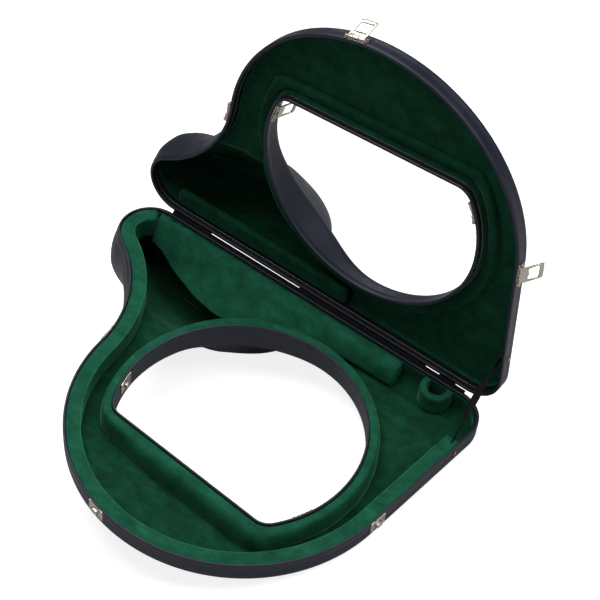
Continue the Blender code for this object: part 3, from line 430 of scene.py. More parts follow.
def edge_drop(radius, distance):
    """How far a rounded bottom edge lies above the floor at a distance w from its wall: with a radius r it is
    r - sqrt(r^2 - (r - w)^2)."""
    inner = np.clip(radius - distance, 0, None)
    return radius - np.sqrt(np.clip(radius ** 2 - inner ** 2, 0, None))


def hole_pad_width(angle):
    """Width of the lower hole pad: a broad roll beside the straight side, narrow on the round part."""
    delta = angle_from(HOLE_CHORD_ANGLE, angle)
    left = (-delta - HOLE_ROLL_FADE_LEFT[0]) / (HOLE_ROLL_FADE_LEFT[1] - HOLE_ROLL_FADE_LEFT[0])
    right = (delta - HOLE_ROLL_FADE_RIGHT[0]) / (HOLE_ROLL_FADE_RIGHT[1] - HOLE_ROLL_FADE_RIGHT[0])
    share = smooth_step(np.maximum(left, right))
    return HOLE_ROLL_W + (HOLE_PAD_W - HOLE_ROLL_W) * share


def case_frame():
    """Turn and place of the case frame: X on the hinge axis, level with the floor that the case rests on."""
    joint = [item for item in frame["joints"] if item["name"] == "lid_hinge"][0]
    up = unit(np.array([-REST_SLOPE, REST_SLOPE_Y, 1.0]))
    along = np.array([1.0, 0.0, 0.0])
    along = unit(along - up * (along @ up))
    rows = np.stack([along, np.cross(up, along), up])
    place = np.array(joint["pos_m"]) - rows @ np.array([0.0, HINGE_Y, 0.0]) * MM
    return rows, place


CASE_ROWS, CASE_AT = case_frame()


def to_world(points):
    """Case coordinates in millimetres turned into the shared frame in metres."""
    return np.asarray(points, float) @ CASE_ROWS.T * MM + CASE_AT


def from_world(points):
    """Points of the shared frame in case coordinates."""
    return ((points - CASE_AT) / MM) @ CASE_ROWS


def turn_lid(points, angle):
    """Points turned about the hinge line by an angle."""
    c = math.cos(angle)
    s = math.sin(angle)
    y = points[..., 1] - HINGE_Y
    z = points[..., 2]
    return spots(points[..., 0], HINGE_Y + y * c + z * s, z * c - y * s)


def open_lid(points):
    """Points of the closed lid turned about the hinge line to where the open lid is."""
    return turn_lid(points, LID_OPEN)


def lid_to_world(points):
    """Points of the closed lid in the shared frame, where the open lid is."""
    return to_world(open_lid(points))


def grid_shape(rings, closed=False):
    """Points and quads of a grid of closed rings; closed also joins the last ring to the first."""
    rows, columns = rings.shape[:2]
    i, j = np.meshgrid(np.arange(rows if closed else rows - 1), np.arange(columns), indexing="ij")
    down = (i + 1) % rows
    right = (j + 1) % columns
    quads = spots(i * columns + j, down * columns + j, down * columns + right, i * columns + right)
    return rings.reshape(-1, 3), quads.reshape(-1, 4)


def surface(name, shapes, place, materials, body, node=None, numbers=0, uv=None, weld=False):
    """An object from shapes of (points, quads), placed in the shared frame with closed skins turned to face
    out. The numbers choose a material for each quad, the UV is one pair for each point, and welding joins the
    points that meet at the poles of small hardware. A piece given no body is left without a parent."""
    points = []
    quads = []
    shift = 0
    for local, corners in shapes:
        placed = place(local)
        a, b, c, d = (placed[corners[:, k]] - placed.mean(axis=0) for k in range(4))
        if np.sum(np.cross(a, b) * c) + np.sum(np.cross(a, c) * d) < 0:
            corners = corners[:, ::-1]
        points.append(placed)
        quads.append(corners + shift)
        shift += len(placed)
    points = np.concatenate(points).astype(np.float32)
    quads = np.concatenate(quads).astype(np.int32)
    mesh = bpy.data.meshes.new(name)
    mesh.vertices.add(len(points))
    mesh.vertices.foreach_set("co", points.ravel())
    mesh.loops.add(quads.size)
    mesh.loops.foreach_set("vertex_index", quads.ravel())
    mesh.polygons.add(len(quads))
    mesh.polygons.foreach_set("loop_start", np.arange(0, quads.size, 4, dtype=np.int32))
    mesh.polygons.foreach_set("material_index", np.broadcast_to(numbers, len(quads)).astype(np.int32))
    mesh.polygons.foreach_set("use_smooth", np.ones(len(quads), bool))
    if uv is not None:
        mesh.uv_layers.new(name="along").data.foreach_set("uv", uv[quads.ravel()].astype(np.float32).ravel())
    mesh.update(calc_edges=True)
    mesh.validate()
    if weld:
        shape = bmesh.new()
        shape.from_mesh(mesh)
        bmesh.ops.remove_doubles(shape, verts=shape.verts, dist=WELD)
        shape.to_mesh(mesh)
        shape.free()
        mesh.set_sharp_from_angle(angle=SHARP_ANGLE)
    for item in materials:
        mesh.materials.append(item)
    made = bpy.data.objects.new(name, mesh)
    bpy.context.scene.collection.objects.link(made)
    if body:
        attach(made, body)
    if node:
        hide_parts(node)
    return made


def set_inputs(node, values):
    """Set a node's inputs by name."""
    for name, value in values.items():
        node.inputs[name].default_value = value


def node_material(name, colour, roughness, more):
    """A Principled material with more inputs set by name, its node tree and its shader."""
    made = bpy.data.materials.new(name)
    made.use_nodes = True
    shader = made.node_tree.nodes["Principled BSDF"]
    set_inputs(shader, {"Base Color": (*colour, 1.0), "Roughness": roughness, **more})
    return made, made.node_tree, shader


def add_texture(tree, kind, output, settings):
    """A texture node on a coordinate output, with its inputs set by name."""
    texture = tree.nodes.new(kind)
    set_inputs(texture, settings)
    place = tree.nodes.new("ShaderNodeTexCoord")
    tree.links.new(place.outputs[output], texture.inputs["Vector"])
    return texture


def add_noise(tree, scale, detail=4.0, roughness=0.55, stretch=(1.0, 1.0, 1.0)):
    """Noise on Object coordinates; the scale is in features per metre."""
    mapping = add_texture(tree, "ShaderNodeMapping", "Object", {"Scale": stretch})
    noise = tree.nodes.new("ShaderNodeTexNoise")
    set_inputs(noise, {"Scale": scale, "Detail": detail, "Roughness": roughness})
    tree.links.new(mapping.outputs["Vector"], noise.inputs["Vector"])
    return noise.outputs["Fac"]


def add_ramp(tree, value, stops, shader, name):
    """A ramp over a value from (position, colour or grey) stops, linked to an input of the shader."""
    ramp = tree.nodes.new("ShaderNodeValToRGB")
    while len(ramp.color_ramp.elements) < len(stops):
        ramp.color_ramp.elements.new(0.5)
    for element, (position, colour) in zip(ramp.color_ramp.elements, stops):
        element.position = position
        element.color = (*np.broadcast_to(colour, 3), 1.0)
    tree.links.new(value, ramp.inputs["Fac"])
    tree.links.new(ramp.outputs["Color"], shader.inputs[name])


def add_bumps(tree, shader, heights):
    """Bump nodes in a chain, from (height, strength, distance in metres)."""
    before = None
    for height, strength, distance in heights:
        bump = tree.nodes.new("ShaderNodeBump")
        set_inputs(bump, {"Strength": strength, "Distance": distance})
        tree.links.new(height, bump.inputs["Height"])
        if before is not None:
            tree.links.new(before, bump.inputs["Normal"])
        before = bump.outputs["Normal"]
    tree.links.new(before, shader.inputs["Normal"])


def velvet(name, dark, middle, light):
    """Velvet: nap brushed this way and that in soft patches, a tinted sheen and a fine pile."""
    made, tree, shader = node_material(name, middle, 0.92, {
        "Sheen Weight": 0.36, "Sheen Roughness": 0.3, "Sheen Tint": (0.30, 0.85, 0.55, 1.0),
        "Specular IOR Level": 0.1})
    patches = add_noise(tree, 34.0, 8.0, 0.72, (1.0, 1.5, 1.0))
    add_ramp(tree, patches, ((0.28, dark), (0.50, middle), (0.74, light)), shader, "Base Color")
    add_bumps(tree, shader, ((patches, 0.35, 0.0007), (add_noise(tree, 1500.0, 2.0), 0.6, 0.0003)))
    return made


def leatherette(name, colour, light, scale=750.0, rough=0.46):
    """Grained covering: small cells with creases between them, slightly worn on broad patches."""
    made, tree, shader = node_material(name, colour, rough, {
        "Specular IOR Level": 0.75 * (1 - rough), "Specular Tint": (0.84, 0.88, 1.0, 1.0)})
    worn = add_noise(tree, 14.0, 5.0, 0.6)
    add_ramp(tree, worn, ((0.35, colour), (0.75, light)), shader, "Base Color")
    add_ramp(tree, worn, ((0.3, rough - 0.07), (0.7, rough + 0.07)), shader, "Roughness")
    grain = add_texture(tree, "ShaderNodeTexVoronoi", "Object", {"Scale": scale})
    grain.feature = "DISTANCE_TO_EDGE"
    add_bumps(tree, shader, ((worn, 0.1, 0.0015), (grain.outputs["Distance"], 0.55, 0.0003)))
    return made


def nickel(name, colour, roughness):
    """Nickel plate: metal with faint polishing marks and a slightly warm tarnish."""
    made, tree, shader = node_material(name, colour, roughness, {"Metallic": 1.0})
    marks = add_noise(tree, 260.0, 3.0, 0.5, (1.0, 1.0, 0.15))
    warm = np.array(colour) * (0.93, 0.88, 0.78)
    add_ramp(tree, marks, ((0.40, colour), (0.75, warm)), shader, "Base Color")
    add_ramp(tree, marks, ((0.3, roughness * 0.7), (0.7, roughness * 1.5)), shader, "Roughness")
    add_bumps(tree, shader, ((marks, 0.12, 0.0002),))
    return made


def lacquer(name, colour):
    """Glossy black paint on the bare inner wall."""
    made, tree, shader = node_material(name, colour, 0.3, {"Coat Weight": 0.6, "Coat Roughness": 0.12})
    waves = add_noise(tree, 60.0, 3.0)
    add_ramp(tree, waves, ((0.3, 0.24), (0.7, 0.38)), shader, "Roughness")
    add_bumps(tree, shader, ((waves, 0.2, 0.0006),))
    return made


def webbing(name, colour):
    """Woven strap: slanting ribs along the piece's own UV, with a shade between them."""
    made, tree, shader = node_material(name, colour, 0.85, {"Specular IOR Level": 0.12})
    weave = add_texture(tree, "ShaderNodeTexWave", "UV", {"Scale": 14.0, "Distortion": 0.4})
    weave.bands_direction = "DIAGONAL"
    ribs = weave.outputs["Fac"]
    add_ramp(tree, ribs, ((0.2, colour), (0.9, np.array(colour) * 2.2)), shader, "Base Color")
    add_bumps(tree, shader, ((ribs, 0.6, 0.0004), (add_noise(tree, 900.0, 2.0), 0.3, 0.0002)))
    return made


# Lit and shaded copies of one green velvet: the darker copy on the linings and the lid's pads is painted
# shade, the lighter copy on the lower pads is painted light.
SHADED_VELVET = velvet("green_velvet_painted_shade", (0.0013, 0.017, 0.008), (0.0031, 0.039, 0.0185), (0.0062, 0.064, 0.032))
LIT_PAD_VELVET = velvet("pad_velvet_painted_light", (0.0035, 0.041, 0.021), (0.0070, 0.072, 0.038), (0.0140, 0.116, 0.064))
LEATHERETTE = leatherette("black_leatherette", (0.0085, 0.010, 0.0185), (0.015, 0.017, 0.028))
# A still lighter copy of the velvet for the outer pad's piping: a painted highlight along its edge.
PIPING_HIGHLIGHT_VELVET = velvet("piping_velvet_painted_highlight", (0.010, 0.080, 0.043), (0.016, 0.125, 0.070), (0.026, 0.175, 0.104))
# The strip between the rims is black leatherette, made darker than the shells' covering as painted shade of
# the gap between the rims.
GUSSET_SHADED_CLOTH = leatherette("gusset_leatherette_painted_shade", (0.004, 0.004, 0.006), (0.008, 0.008, 0.010), rough=0.85)
LACQUER = lacquer("black_lacquer", (0.006, 0.006, 0.008))
NICKEL = nickel("nickel_plate", (0.52, 0.49, 0.43), 0.25)
DARK_NICKEL = nickel("worn_nickel", (0.40, 0.385, 0.35), 0.34)
WEBBING = webbing("black_webbing", (0.006, 0.006, 0.007))
HANDLE_LEATHER = leatherette("handle_leatherette", (0.012, 0.012, 0.016), (0.022, 0.022, 0.026), 900.0)


class Tray:
    """A shell's outside as a fine grid of stations by columns, from the outer rim to the hole's rim."""

    WALL_ROWS = 7
    FILLET = 11
    LEDGE = 4
    FLOOR = 30
    SLOPE = 12
    HOLE_FILLET = 8

    def __init__(self, lower):
        self.lower = lower
        self.hole_chord = LOWER_HOLE_CHORD if lower else LID_HOLE_CHORD
        self.ring_depth = LOWER_DEPTH if lower else LID_DEPTH
        self.edge_r = LOWER_EDGE_R if lower else LID_EDGE_R
        self.floor_from = PAD_EDGE if lower else LID_FLOOR_FROM
        self.lining_top = LOWER_LINING_TOP if lower else LID_LINING_TOP
        self.hole_lining_top = LOWER_LINING_TOP if lower else LID_HOLE_LINING_TOP
        self.s = np.arange(STATIONS) * OUTLINE.total / STATIONS
        self.outside, self.marks = self.sections()
        self.normals = self.inward_normals()

    def sections(self):
        """Points (x, y, depth), as columns across the case, and which columns are the marks."""
        point, normal = OUTLINE.at(self.s)
        angle = OUTLINE.hole_angle(self.s)
        hole, into = hole_at(angle, self.hole_chord)
        pad_w = PAD_FACE + (hole_pad_width(angle)[:, None] if self.lower else LID_HOLE_PAD_W)
        length = np.linalg.norm(hole - point, axis=1, keepdims=True)
        line = (hole - point) / length
        cos_wall = np.clip(-np.sum(line * normal, axis=1, keepdims=True), MIN_COS, 1.0)
        cos_hole = np.clip(-np.sum(line * into, axis=1, keepdims=True), MIN_COS, 1.0)
        at_pad = point + line * (self.floor_from / cos_wall)
        rise = floor_depth(at_pad[:, :1], at_pad[:, 1:], self.lower) - self.ring_depth
        edge_r = self.edge_r + (BELL_EDGE_R - self.edge_r) * smooth_step(rise / BELL_EDGE_RISE)
        fillet = edge_r * (1 - np.cos(np.linspace(0.0, math.pi / 2, self.FILLET))) / cos_wall
        ledge_to = np.maximum(self.floor_from, edge_r + LEDGE_W) / cos_wall
        foot = length - pad_w / cos_hole
        stretches = ((fillet[:, -1:], ledge_to, self.LEDGE), (ledge_to, foot, self.FLOOR),
                     (foot, length - HOLE_EDGE_R / cos_hole, self.SLOPE))
        between = [start + (end - start) * np.linspace(0, 1, steps + 1)[1:]
                   for start, end, steps in stretches]
        turn = np.linspace(math.pi / 2, 0.0, self.HOLE_FILLET + 1)[1:]
        last = length - HOLE_EDGE_R * (1 - np.cos(turn)) / cos_hole
        w = np.concatenate([fillet, *between, last], axis=1)
        wall_w = w * cos_wall
        eased = np.minimum(smooth_max(wall_w, self.floor_from, FLOOR_EASE) / cos_wall, length)
        at = point[:, None] + line[:, None] * eased[..., None]
        depth = floor_depth(at[..., 0], at[..., 1], self.lower)
        depth -= edge_drop(edge_r, wall_w) + edge_drop(HOLE_EDGE_R, (length - w) * cos_hole)
        swell = OUTLINE.swell(self.s)
        out = swell[:, None] * (1 - smooth_step(wall_w / self.floor_from))
        plan = point[:, None] + line[:, None] * w[..., None] + normal[:, None] * out[..., None]
        if self.lower:
            limit = REST_DEPTH - REST_SLOPE * plan[..., 0] + REST_SLOPE_Y * (plan[..., 1] + BACK_Y)
            depth = -smooth_max(-depth, -limit, REST_BLEND)
        body = np.concatenate([plan, depth[..., None]], axis=2)
        top, lining = self.wall_rows(point, normal, swell, depth[:, 0], self.lining_top)
        bottom, hole_lining = self.wall_rows(hole, into, swell * 0, depth[:, -1], self.hole_lining_top)
        grid = np.concatenate([top, body, bottom[:, ::-1]], axis=1)
        grid[..., 1] += BACK_Y
        fillet_at = top.shape[1]
        edge = fillet_at + self.FILLET + self.LEDGE - 1
        marks = {"fillet": fillet_at, "edge": edge, "foot": edge + self.FLOOR, "lining": lining,
                 "hole_lining": grid.shape[1] - 1 - hole_lining}
        return grid, marks

    def wall_rows(self, point, normal, swell, bottom, lining_top):
        """Rows down a wall, and which of them is the lining's top: just under the rim, at both sides of the
        band's lower edge and at the lining's top, then evenly to the bottom edge."""
        upper = sorted([RIM_ROUND, BAND_DEPTH - BAND_STEP, BAND_DEPTH + BAND_STEP, lining_top])
        share = np.linspace(0, 1, self.WALL_ROWS + 1)[1:-1]
        lower = upper[-1] + (bottom[:, None] - upper[-1]) * share
        depth = np.concatenate([np.broadcast_to(upper, (len(bottom), len(upper))), lower], axis=1)
        out = swell[:, None] * np.sin(depth / bottom[:, None] * math.pi / 2)
        plan = point[:, None] + normal[:, None] * out[..., None]
        return np.concatenate([plan, depth[..., None]], axis=2), upper.index(lining_top)

    def inward_normals(self):
        """Unit normals into the case, from differences along both directions of the grid."""
        grid = self.outside
        along = np.roll(grid, -1, axis=0) - np.roll(grid, 1, axis=0)
        across = np.gradient(grid, axis=1)
        normal = np.cross(along, across)
        for column in (0, -1):
            normal[:, column, 2] = 0.0
        normal = unit(normal)
        middle = self.marks["foot"] - self.FLOOR // 2
        toward = grid[:, middle, :2] - grid[:, 0, :2]
        if np.sum(normal[:, 0, :2] * toward) < 0:
            normal = -normal
        return normal

    def skin(self, inset):
        """The grid moved inward by a distance."""
        return self.outside + self.normals * inset

    def place(self, points):
        """Points (x, y, depth) in the shared frame, the lid's turned open."""
        out = np.array(points, float)
        if self.lower:
            out[..., 2] = -(out[..., 2] + RIM_GAP)
            return to_world(out)
        out[..., 2] += RIM_GAP
        return lid_to_world(out)

    @property
    def body(self):
        """Name of the body that this shell belongs to."""
        return "case" if self.lower else "lid"


LOWER = Tray(True)
LID = Tray(False)


def rim_turn(first, last):
    """A rounded rim between two skins' top rows: quarter turns at both edges with a flat between them."""
    turn = np.linspace(0, math.pi / 2, 4)[1:]
    offset = np.concatenate([RIM_ROUND * (1 - np.cos(turn)), WALL - RIM_ROUND * (1 - np.cos(turn[::-1]))])
    rows = first[:, None] + ((last - first) / WALL)[:, None] * offset[:, None]
    rows[..., 2] = RIM_ROUND * (1 - np.sin(np.concatenate([turn, turn[::-1]])))
    return rows


def build_shell(tray, name, node):
    """Covered outside with a raised band at its rim, a rounded rim and a painted inner wall, in one skin."""
    outer = tray.skin(0.0)
    band = outer[..., 2] < BAND_DEPTH
    outer[band] -= tray.normals[band] * BAND_OUT
    inner = tray.skin(WALL)
    if tray.lower:
        thin = [smooth_step((-outer[..., axis] - start) / fade) for axis, start, fade in THIN_RIM]
        share = np.maximum(*thin)
        share[:, -WALL_TOP_ROWS:] = 1.0
        share = share * (tray.outside[..., 2] < LOWER_LINING_TOP)
        inner -= tray.normals * ((WALL - RIM_WALL) * share)[..., None]
    hole_rim = rim_turn(outer[:, -1], inner[:, -1])
    grid = np.concatenate([outer, hole_rim, inner[:, ::-1], rim_turn(inner[:, 0], outer[:, 0])], axis=1)
    column = np.arange(grid.shape[1]) - (outer.shape[1] + hole_rim.shape[1] - 1)
    painted = np.tile((column >= 0) & (column < inner.shape[1]), grid.shape[0])
    surface(name, [grid_shape(grid, True)], tray.place, [LEATHERETTE, LACQUER], tray.body,
            node, painted)


def build_lining(tray, name, node):
    """Velvet lining between two insets of the shell, with a rounded top edge on both walls."""
    first = tray.marks["lining"]
    last = tray.marks["hole_lining"] + 1
    under = tray.skin(LINING_FACE)[:, first:last]
    over = tray.skin(LINING_TOP_FACE)[:, first:last]
    turn = np.linspace(0, math.pi, 7)[1:-1]

    def top_edge(start, end):
        middle = (start + end) / 2
        rows = middle[:, None] + (start - middle)[:, None] * np.cos(turn)[:, None]
        rows[..., 2] -= LINING / 2 * np.sin(turn)
        return rows

    grid = np.concatenate([under, top_edge(under[:, -1], over[:, -1]), over[:, ::-1],
                           top_edge(over[:, 0], under[:, 0])], axis=1)
    # The lining takes the darker velvet copy: painted shade.
    surface(name, [grid_shape(grid, True)], tray.place, [SHADED_VELVET], tray.body, node)


def cushion(name, sections, closed, tray, node):
    """A velvet skin from sections in a tray, closed into a loop or not, that stands for a padded node."""
    # The lower pads take the lighter velvet copy, painted light; the lid's pads take the darker copy, painted
    # shade.
    cover = LIT_PAD_VELVET if tray.lower else SHADED_VELVET
    made = surface(name, [grid_shape(sections, closed)], tray.place, [cover], tray.body, node)


def rounded_sections(corners, radii, arc_points, side_points):
    """Closed sections with rounded corners: each corner of a polygon becomes a parabola that leaves its
    sides at the given radius, and the sides between are divided evenly."""
    before = np.roll(corners, 1, axis=1) - corners
    after = np.roll(corners, -1, axis=1) - corners
    before_length = np.linalg.norm(before, axis=2, keepdims=True)
    after_length = np.linalg.norm(after, axis=2, keepdims=True)
    radii = np.broadcast_to(radii, corners.shape[:2])[..., None]
    start = corners + before / before_length * np.minimum(radii, before_length * 0.48)
    end = corners + after / after_length * np.minimum(radii, after_length * 0.48)
    rows = []
    t = np.linspace(0, 1, arc_points)[:, None]
    side = np.linspace(0, 1, side_points + 2)[1:-1, None]
    for k in range(corners.shape[1]):
        first, corner, last = (points[:, k, None] for points in (start, corners, end))
        rows.append((1 - t) ** 2 * first + 2 * t * (1 - t) * corner + t ** 2 * last)
        following = start[:, (k + 1) % corners.shape[1], None]
        rows.append(last + (following - last) * side)
    return np.concatenate(rows, axis=1)


def dome_ends(sections, reach, steps=6):
    """Rounded ends for a strip of closed sections: rings that shrink as cos t while they move on by sin t."""
    rings = []
    for edge, inner in ((0, 1), (-1, -2)):
        middle = sections[edge].mean(axis=0)
        away = unit(middle - sections[inner].mean(axis=0))
        turn = np.linspace(0, math.pi / 2, steps)[1:]
        shrunk = middle + (sections[edge] - middle) * np.cos(turn)[:, None, None]
        rings.append(shrunk + away * (reach * np.sin(turn))[:, None, None])
    return np.concatenate([rings[0][::-1], sections, rings[1]])


def section_normals(sections, closed):
    """Outward unit normals of a strip of closed sections."""
    around = np.roll(sections, -1, axis=1) - np.roll(sections, 1, axis=1)
    if closed:
        along = np.roll(sections, -1, axis=0) - np.roll(sections, 1, axis=0)
    else:
        along = np.gradient(sections, axis=0)
    normal = unit(np.cross(around, along) + 1e-12)
    away = sections - sections.mean(axis=1, keepdims=True)
    return normal * np.sign(np.sum(normal * away))


def ripple(sections, closed, height):
    """Soft unevenness of stuffed velvet: the surface moved along its normal by a sum of slow sine waves."""
    normal = section_normals(sections, closed)
    x, y, z = (sections[..., k] for k in range(3))
    wave = np.sin(x / 11 + 1.3 * np.sin(y / 17)) + np.sin(y / 13 + 1.1 * np.sin(x / 23) + z / 9)
    wave = wave + 0.6 * np.sin((x - y) / 5.3 + np.sin(z / 6))
    return sections - normal * (height * (0.5 + 0.2 * wave))[..., None]


def flat_ends(sections):
    """A strip of thin sections with its ends closed: the last ring joins each point to the one facing it."""
    rings = [(ring + ring[::-1]) / 2 for ring in (sections[0], sections[-1])]
    return np.concatenate([rings[0][None], sections, rings[1][None]])


def rings_about(path, first, second, radius, sides):
    """Rings of a radius about the points of a path, in the plane of two directions at each point."""
    turn = np.arange(sides)[:, None] * TURN / sides
    ring = first[:, None] * (radius * np.cos(turn)) + second[:, None] * (radius * np.sin(turn))
    return path[:, None] + ring


def build_outer_cushion():
    """The padding along the lower shell's outer wall: a flat-topped strip, with piping on its inner edge."""
    right_end = OUTLINE.side_start + (SIDE_POINT[1] - OUTER_PAD_END_Y) / SIDE_NORMAL[0]
    left_end = OUTLINE.spine_start - (OUTER_PAD_END_ANGLE - math.pi / 2) * SHOULDER_R
    ahead = (LOWER.s - right_end) % OUTLINE.total
    order = np.argsort(ahead)
    order = order[ahead[order] <= (left_end - right_end) % OUTLINE.total]
    outer = LOWER.skin(PAD_FACE)[order]
    point, normal = OUTLINE.at(LOWER.s[order])
    point = point + np.array([0.0, BACK_Y])
    floor = outer[:, LOWER.marks["edge"], 2]
    bottom = np.minimum(floor - PAD_GAP, OUTER_PAD_MAX_DEPTH)
    shallow = 1 - smooth_step((floor - OUTER_PAD_MAX_DEPTH) / 12.0)
    wall_bottom = np.minimum(outer[:, LOWER.marks["fillet"], 2], 20.0)
    fillet = LOWER_EDGE_R - PAD_FACE

    def row(distance, depth):
        plan = point - normal * np.broadcast_to(distance, len(point))[:, None]
        return spots(plan[:, 0], plan[:, 1], depth)

    corners = np.stack([
        row(PAD_LIP, PAD_TOP),
        row(PAD_LIP, PAD_LIP_DEPTH),
        row(PAD_SIDE, PAD_LIP_DEPTH + 0.2),
        row(PAD_SIDE, wall_bottom),
        row(PAD_FACE + fillet * shallow * 0.55 + 0.8, bottom - 2.0 * shallow),
        row(PAD_EDGE, bottom),
        row(PAD_EDGE, PAD_TOP),
    ], axis=1)
    sections = rounded_sections(corners, np.array([1.4, 0.2, 0.2, 3.0, 4.0, 3.0, 3.4]), 6, 7)
    fold = row(PAD_EDGE - 0.9, PAD_TOP + 0.95)[6:-6]
    piping = rings_about(fold, spots(*-normal[6:-6].T, 0.0), UP, PIPING_R, 10)
    piping = grid_shape(flat_ends(piping))
    # The piping takes the lightest velvet copy: a painted highlight along the pad's inner edge.
    surface("lower_outer_piping", [piping], LOWER.place, [PIPING_HIGHLIGHT_VELVET], "case")
    sections = dome_ends(ripple(sections, False, 0.5), 4.0)
    cushion("lower_outer_cushion", sections, False, LOWER, "lower_outer_pad")


def smooth_loop(values, width):
    """Rows of a closed loop averaged with their neighbours under a cosine window."""
    window = np.hanning(2 * width + 3)[1:-1]
    wrapped = np.concatenate([values[-width:], values, values[:width]])
    rows = [np.convolve(wrapped[:, k], window / window.sum(), "valid") for k in range(values.shape[1])]
    return np.stack(rows, axis=1)


def hole_pad_sections(hole, into, foot, crest, power, top, bottom, lip, drop, ease=0.85):
    """Closed sections of a pad round the hole. From its crest the top falls to the foot as a superellipse,
    distance by sin(t)^(2 / power) and depth by 1 - cos(t)^(2 / power). On the other side it falls by the
    drop to the lip at the lining's edge, distance by sin(t)^ease and depth by 1 - cos(t)^ease."""
    way = unit(foot[:, :2] - hole)
    slant = np.sum(way * into, axis=1)
    reach = np.linalg.norm(foot[:, :2] - hole, axis=1) * slant
    columns = (np.broadcast_to(value, reach.shape)[:, None] for value in (power, crest, top, drop))
    power, crest, top, drop = columns
    t = np.linspace(0.0, math.pi / 2, 26)
    outer_d = crest + (reach[:, None] - crest) * np.sin(t) ** (2 / power)
    outer_z = top + (foot[:, 2:] - top) * (1 - np.abs(np.cos(t)) ** (2 / power))
    turn = t[::-2]
    inner_d = (crest - (crest - lip) * np.sin(turn) ** ease)[:, :-1]
    inner_z = (top + drop * (1 - np.abs(np.cos(turn)) ** ease))[:, :-1]
    side = np.append(np.linspace(0.0, 1.0, 7), 1.0)
    side_z = bottom + (top + drop + 1.0 - bottom) * side - 0.6 * (np.arange(8) == 7)
    side_d = np.broadcast_to(np.append(np.full(7, PAD_SIDE), (PAD_SIDE + lip) / 2), side_z.shape)
    share = np.linspace(0, 1, 9)[1:-1]
    base_d = reach[:, None] + (PAD_SIDE - reach[:, None]) * share
    base_z = foot[:, 2:] + (bottom - foot[:, 2:]) * share
    distance = np.concatenate([side_d, inner_d, outer_d, base_d], axis=1)
    depth = np.concatenate([side_z, inner_z, outer_z, base_z], axis=1)
    plan = hole[:, None] + way[:, None] * (distance / slant[:, None])[..., None]
    return np.concatenate([plan, depth[..., None]], axis=2)


def hole_foot(tray, chord_at, deepest, lift, width):
    """Angles, points and normals of a tray's hole, and the smoothed foot of the pad round it."""
    angle = OUTLINE.hole_angle(tray.s)
    hole, into = hole_at(angle, chord_at)
    foot = tray.skin(PAD_FACE)[:, tray.marks["foot"]].copy()
    foot[:, 2] = np.minimum(foot[:, 2], deepest) - lift
    foot[:, :2] = smooth_loop(foot[:, :2], width)
    return angle, hole + np.array([0.0, BACK_Y]), into, foot


def build_hole_cushion():
    """The padding round the lower hole: a narrow top on the arc, a broad half-round roll on the straight."""
    angle, hole, into, foot = hole_foot(LOWER, LOWER_HOLE_CHORD, 60.0, 0.5, 9)
    roll = (hole_pad_width(angle) - HOLE_PAD_W) / (HOLE_ROLL_W - HOLE_PAD_W)
    sections = hole_pad_sections(hole, into, foot, PAD_FACE + 3.0 + 2.0 * roll, 3.0 - 0.7 * roll, PAD_TOP,
                                 LOWER_DEPTH - PAD_FACE - 1.0, PAD_LIP, PAD_LIP_DEPTH - PAD_TOP)
    sections = ripple(sections, True, 0.5)
    seam = HOLE_SEAM_DEPTH * np.exp(-(angle_from(HOLE_SEAM_ANGLE, angle) / HOLE_SEAM_WIDTH) ** 2)
    sections = sections - section_normals(sections, True) * seam[:, None, None]
    cushion("lower_hole_cushion", sections, True, LOWER, "lower_hole_pad")


def build_lid_hole_cushion():
    """The sloped padding round the lid's hole: a light ridge near the hole, then a fall to the floor."""
    hole, into, foot = hole_foot(LID, LID_HOLE_CHORD, 45.0, 0.4, 7)[1:]
    deep = smooth_step((foot[:, 2] - 21.0) / 10.0)
    crest = (PAD_FACE + LID_HOLE_PAD_W - 4.5) * (1 - deep) + (PAD_FACE + LID_HOLE_PAD_CREST) * deep
    top = (foot[:, 2] - 7.5) * (1 - deep) + LID_HOLE_PAD_TOP * deep
    sections = hole_pad_sections(hole, into, foot, crest, 2.6 - 0.4 * deep, top, LID_DEPTH - PAD_FACE - 0.6,
                                 PAD_SIDE, 5.0 + deep, 1.5 - 0.6 * deep[:, None])
    cushion("lid_hole_cushion", ripple(sections, True, 0.4), True, LID, "lid_hole_pad")


def build_spine_cushion():
    """The wedge along the lower spine: a flat top, a rounded crest, and a face that slopes into the bell."""
    x = np.linspace(WEDGE_X[0] - 8.0, WEDGE_X[-1] - 4.0, 150)

    def along(values):
        kernel = np.hanning(17)
        padded = np.pad(np.interp(x, WEDGE_X, values), 8, mode="edge")
        return np.convolve(padded, kernel / kernel.sum(), "valid")

    depth = along(WEDGE_DEPTH)
    back = BACK_Y - PAD_FACE
    top = PAD_TOP - 0.4
    corners = ((back, top), (-along(WEDGE_CREST), top), (-along(WEDGE_REACH), depth - 1.5),
               (back - WEDGE_BACK_IN, depth), (back, depth - WEDGE_BACK_RISE))
    corners = np.stack([spots(x, y, z) for y, z in corners], axis=1)
    roll = smooth_step((x - WEDGE_ROLL_FROM) / WEDGE_ROLL_RUN)
    sections = rounded_sections(corners, spots(2.5, 9.0 + 9.0 * roll, 5.0 + 4.0 * roll, 4.0, 4.0), 10, 10)
    sections = ripple(sections, False, 0.9)
    seam = sum(depth * np.exp(-((x - at) / width) ** 2) for at, width, depth in WEDGE_SEAMS)
    sections = sections - section_normals(sections, False) * seam[:, None, None]
    cushion("lower_spine_cushion", dome_ends(sections, 4.0), False, LOWER, "lower_spine_pad")


def build_lid_spine_cushion():
    """The bar of padding along the lid's spine, with rounded ends."""
    x = np.linspace(LID_PAD_X0 + 3.0, LID_PAD_X1 - 8.0, 110)
    back = BACK_Y - PAD_FACE
    front = back - LID_PAD_W
    floor = LID_DEPTH - PAD_FACE - LID_PAD_LIFT
    corners = ((back, LID_PAD_DEPTH), (front, LID_PAD_DEPTH), (front, floor), (back, floor))
    corners = np.stack([spots(x, y, z) for y, z in corners], axis=1)
    sections = rounded_sections(corners, np.array([2.0, 6.0, 2.0, 1.0]), 8, 8)
    sections = dome_ends(ripple(sections, False, 0.5), 7.5)
    cushion("lid_spine_cushion", sections, False, LID, "lid_spine_pad")


